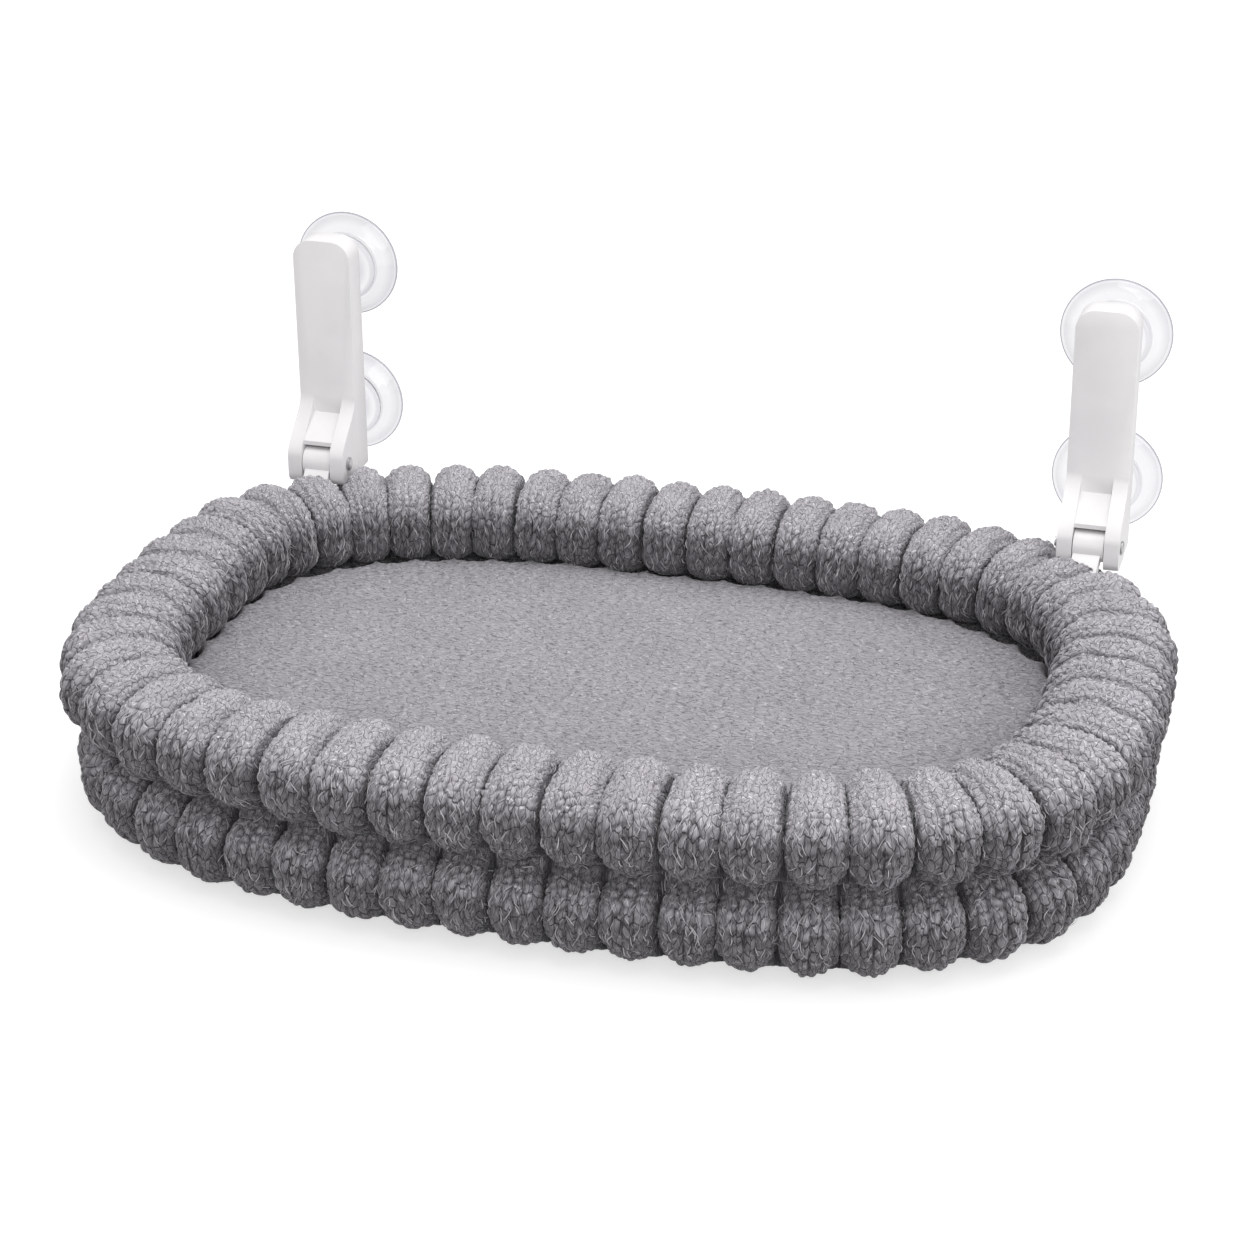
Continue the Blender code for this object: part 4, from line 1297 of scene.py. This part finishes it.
def cupProfile():
    head = cup["plateBack"] + cup["plateThickness"] + cup["gap"]
    headTop = head + cup["headThickness"]
    boss = cup["plateBack"] - cup["gap"]
    radius, hub, top, cone = (cup[k] for k in ("radius", "hubRadius", "hubHeight", "coneHeight"))
    inner, dish, rim = radius - cup["rimWidth"], cup["dish"], cup["rim"]
    return roundedProfile([
        # radius, height, rounding, share of the painted edge shade
        (0, headTop, 0, 0),
        (cup["headRadius"] - 0.001, headTop, 0.001, 0.2),
        (cup["headRadius"], head, 0.0004, 0.3),
        (cup["neckRadius"], head, 0.0003, 0.3),
        (cup["neckRadius"], boss, 0.0003, 0.3),
        (cup["bossRadius"], boss, 0.0008, 0.5),
        (cup["bossRadius"], top + 0.0008, 0.0008, 0.7),
        (hub - 0.0032, top, 0.0006, 0.0),
        (hub - 0.001, top, 0.0012, 0.4),
        (hub, top - 0.001, 0.0006, 0.45),
        (hub, cone, 0.0010, 0.45),
        (hub + 0.0016, cone * 0.93, 0.0006, 0.0),
        (radius * 0.82, cone * 0.52, 0.003, 0.0),
        (radius - 0.0014, rim * 1.5, 0.0006, 0.05),
        (radius, rim, 0.0005, 1.0),
        (radius, 0, 0.0004, 1.0),
        (radius - 0.0014, 0, 0.0006, 0.1),
        (inner, 0, 0.0012, 0.35),
        (inner * 0.70, dish * 0.66, 0.005, 0.0),
        (inner * 0.35, dish * 0.94, 0.004, 0.0),
        (0, dish, 0, 0.0),
    ])


for side in ("left", "right"):
    for level in ("upper", "lower"):
        half, middle = boxOf(level + "_cup_" + side)
        mesh = turnedMesh(level + "Cup" + side.title(), *cupProfile(), middle + half * (0, 1, 0))
        addPiece(mesh.name, mesh, "clear", side + "_bracket",
                 [level + "_cup_" + side])
print("cups made")

# Studio

studio = {
    "floorSize": 16.0,
    "floorColour": (0.53, 0.53, 0.53, 1),
    "floorGlow": 0.60,
    "glowThroughCups": 0.36,
    "white": (1, 1, 1, 1),
    "worldColour": (0.99, 0.985, 0.99, 1),
    "worldStrength": 0.64,
    "throughGlass": 0.80,
    "lamps": (
        # name, place, aim, size, power
        ("overheadSoftbox", (0.1, 0.15, 1.7), (0, 0, 0), 1.5, 19.0),
        ("frontSoftbox", (0.6, -2.0, 1.0), (0, 0, 0.1), 1.4, 15.0),
        ("sideSoftbox", (2.2, -0.3, 0.7), (0, 0, 0.1), 1.4, 11.5),
    ),
}


def addWorld(scene):
    # White to the camera, darker through the cups and as a light.
    scene.world = bpy.data.worlds.new("studioWorld")
    scene.world.use_nodes = True
    tree = scene.world.node_tree
    light = setInputs(tree, tree.nodes["Background"], {"Color": studio["worldColour"],
                                                       "Strength": studio["worldStrength"]})
    seen, through = (addNode(tree, "ShaderNodeBackground", {"Color": studio["white"],
                                                            "Strength": strength}).outputs[0]
                     for strength in (1.0, studio["throughGlass"]))
    path = tree.nodes.new("ShaderNodeLightPath").outputs
    first = addNode(tree, "ShaderNodeMixShader", {0: path["Is Transmission Ray"],
                                                  1: light.outputs[0], 2: through})
    mix = addNode(tree, "ShaderNodeMixShader", {0: path["Is Camera Ray"], 1: first.outputs[0],
                                                2: seen})
    tree.links.new(mix.outputs[0], tree.nodes["World Output"].inputs["Surface"])


def addFloor(scene):
    # The floor glows to the camera, and less where it is seen through the cups.
    half = studio["floorSize"] / 2
    corners = np.array([[-half, -half, 0], [half, -half, 0], [half, half, 0], [-half, half, 0]])
    mesh = meshFrom("studioFloor", corners, np.array([[0, 1, 2, 3]]))
    floor = bpy.data.objects.new("studioFloor", mesh)
    scene.collection.objects.link(floor)
    material, tree, shader = newMaterial("floorWhite")
    mesh.materials.append(material)
    path = tree.nodes.new("ShaderNodeLightPath").outputs
    straight = maths(tree, "MULTIPLY", path["Is Camera Ray"], studio["floorGlow"])
    bent = maths(tree, "MAXIMUM", path["Is Transmission Ray"], path["Is Glossy Ray"])
    glow = maths(tree, "MULTIPLY_ADD", bent, studio["glowThroughCups"], straight)
    setInputs(tree, shader, {
        "Base Color": studio["floorColour"], "Roughness": 0.9, "Specular IOR Level": 0.1,
        "Emission Color": studio["white"], "Emission Strength": glow})


def addStudio():
    scene = bpy.context.scene
    scene.view_settings.view_transform = "Standard"
    addWorld(scene)
    addFloor(scene)
    for name, place, aim, size, power in studio["lamps"]:
        data = bpy.data.lights.new(name, "AREA")
        setAll(data, {"shape": "SQUARE", "size": size, "energy": power})
        lamp = bpy.data.objects.new(name, data)
        lamp.location = place
        lamp.rotation_euler = (Vector(aim) - Vector(place)).to_track_quat("-Z", "Y").to_euler()
        scene.collection.objects.link(lamp)


addCamera()
addStudio()
print("studio made")
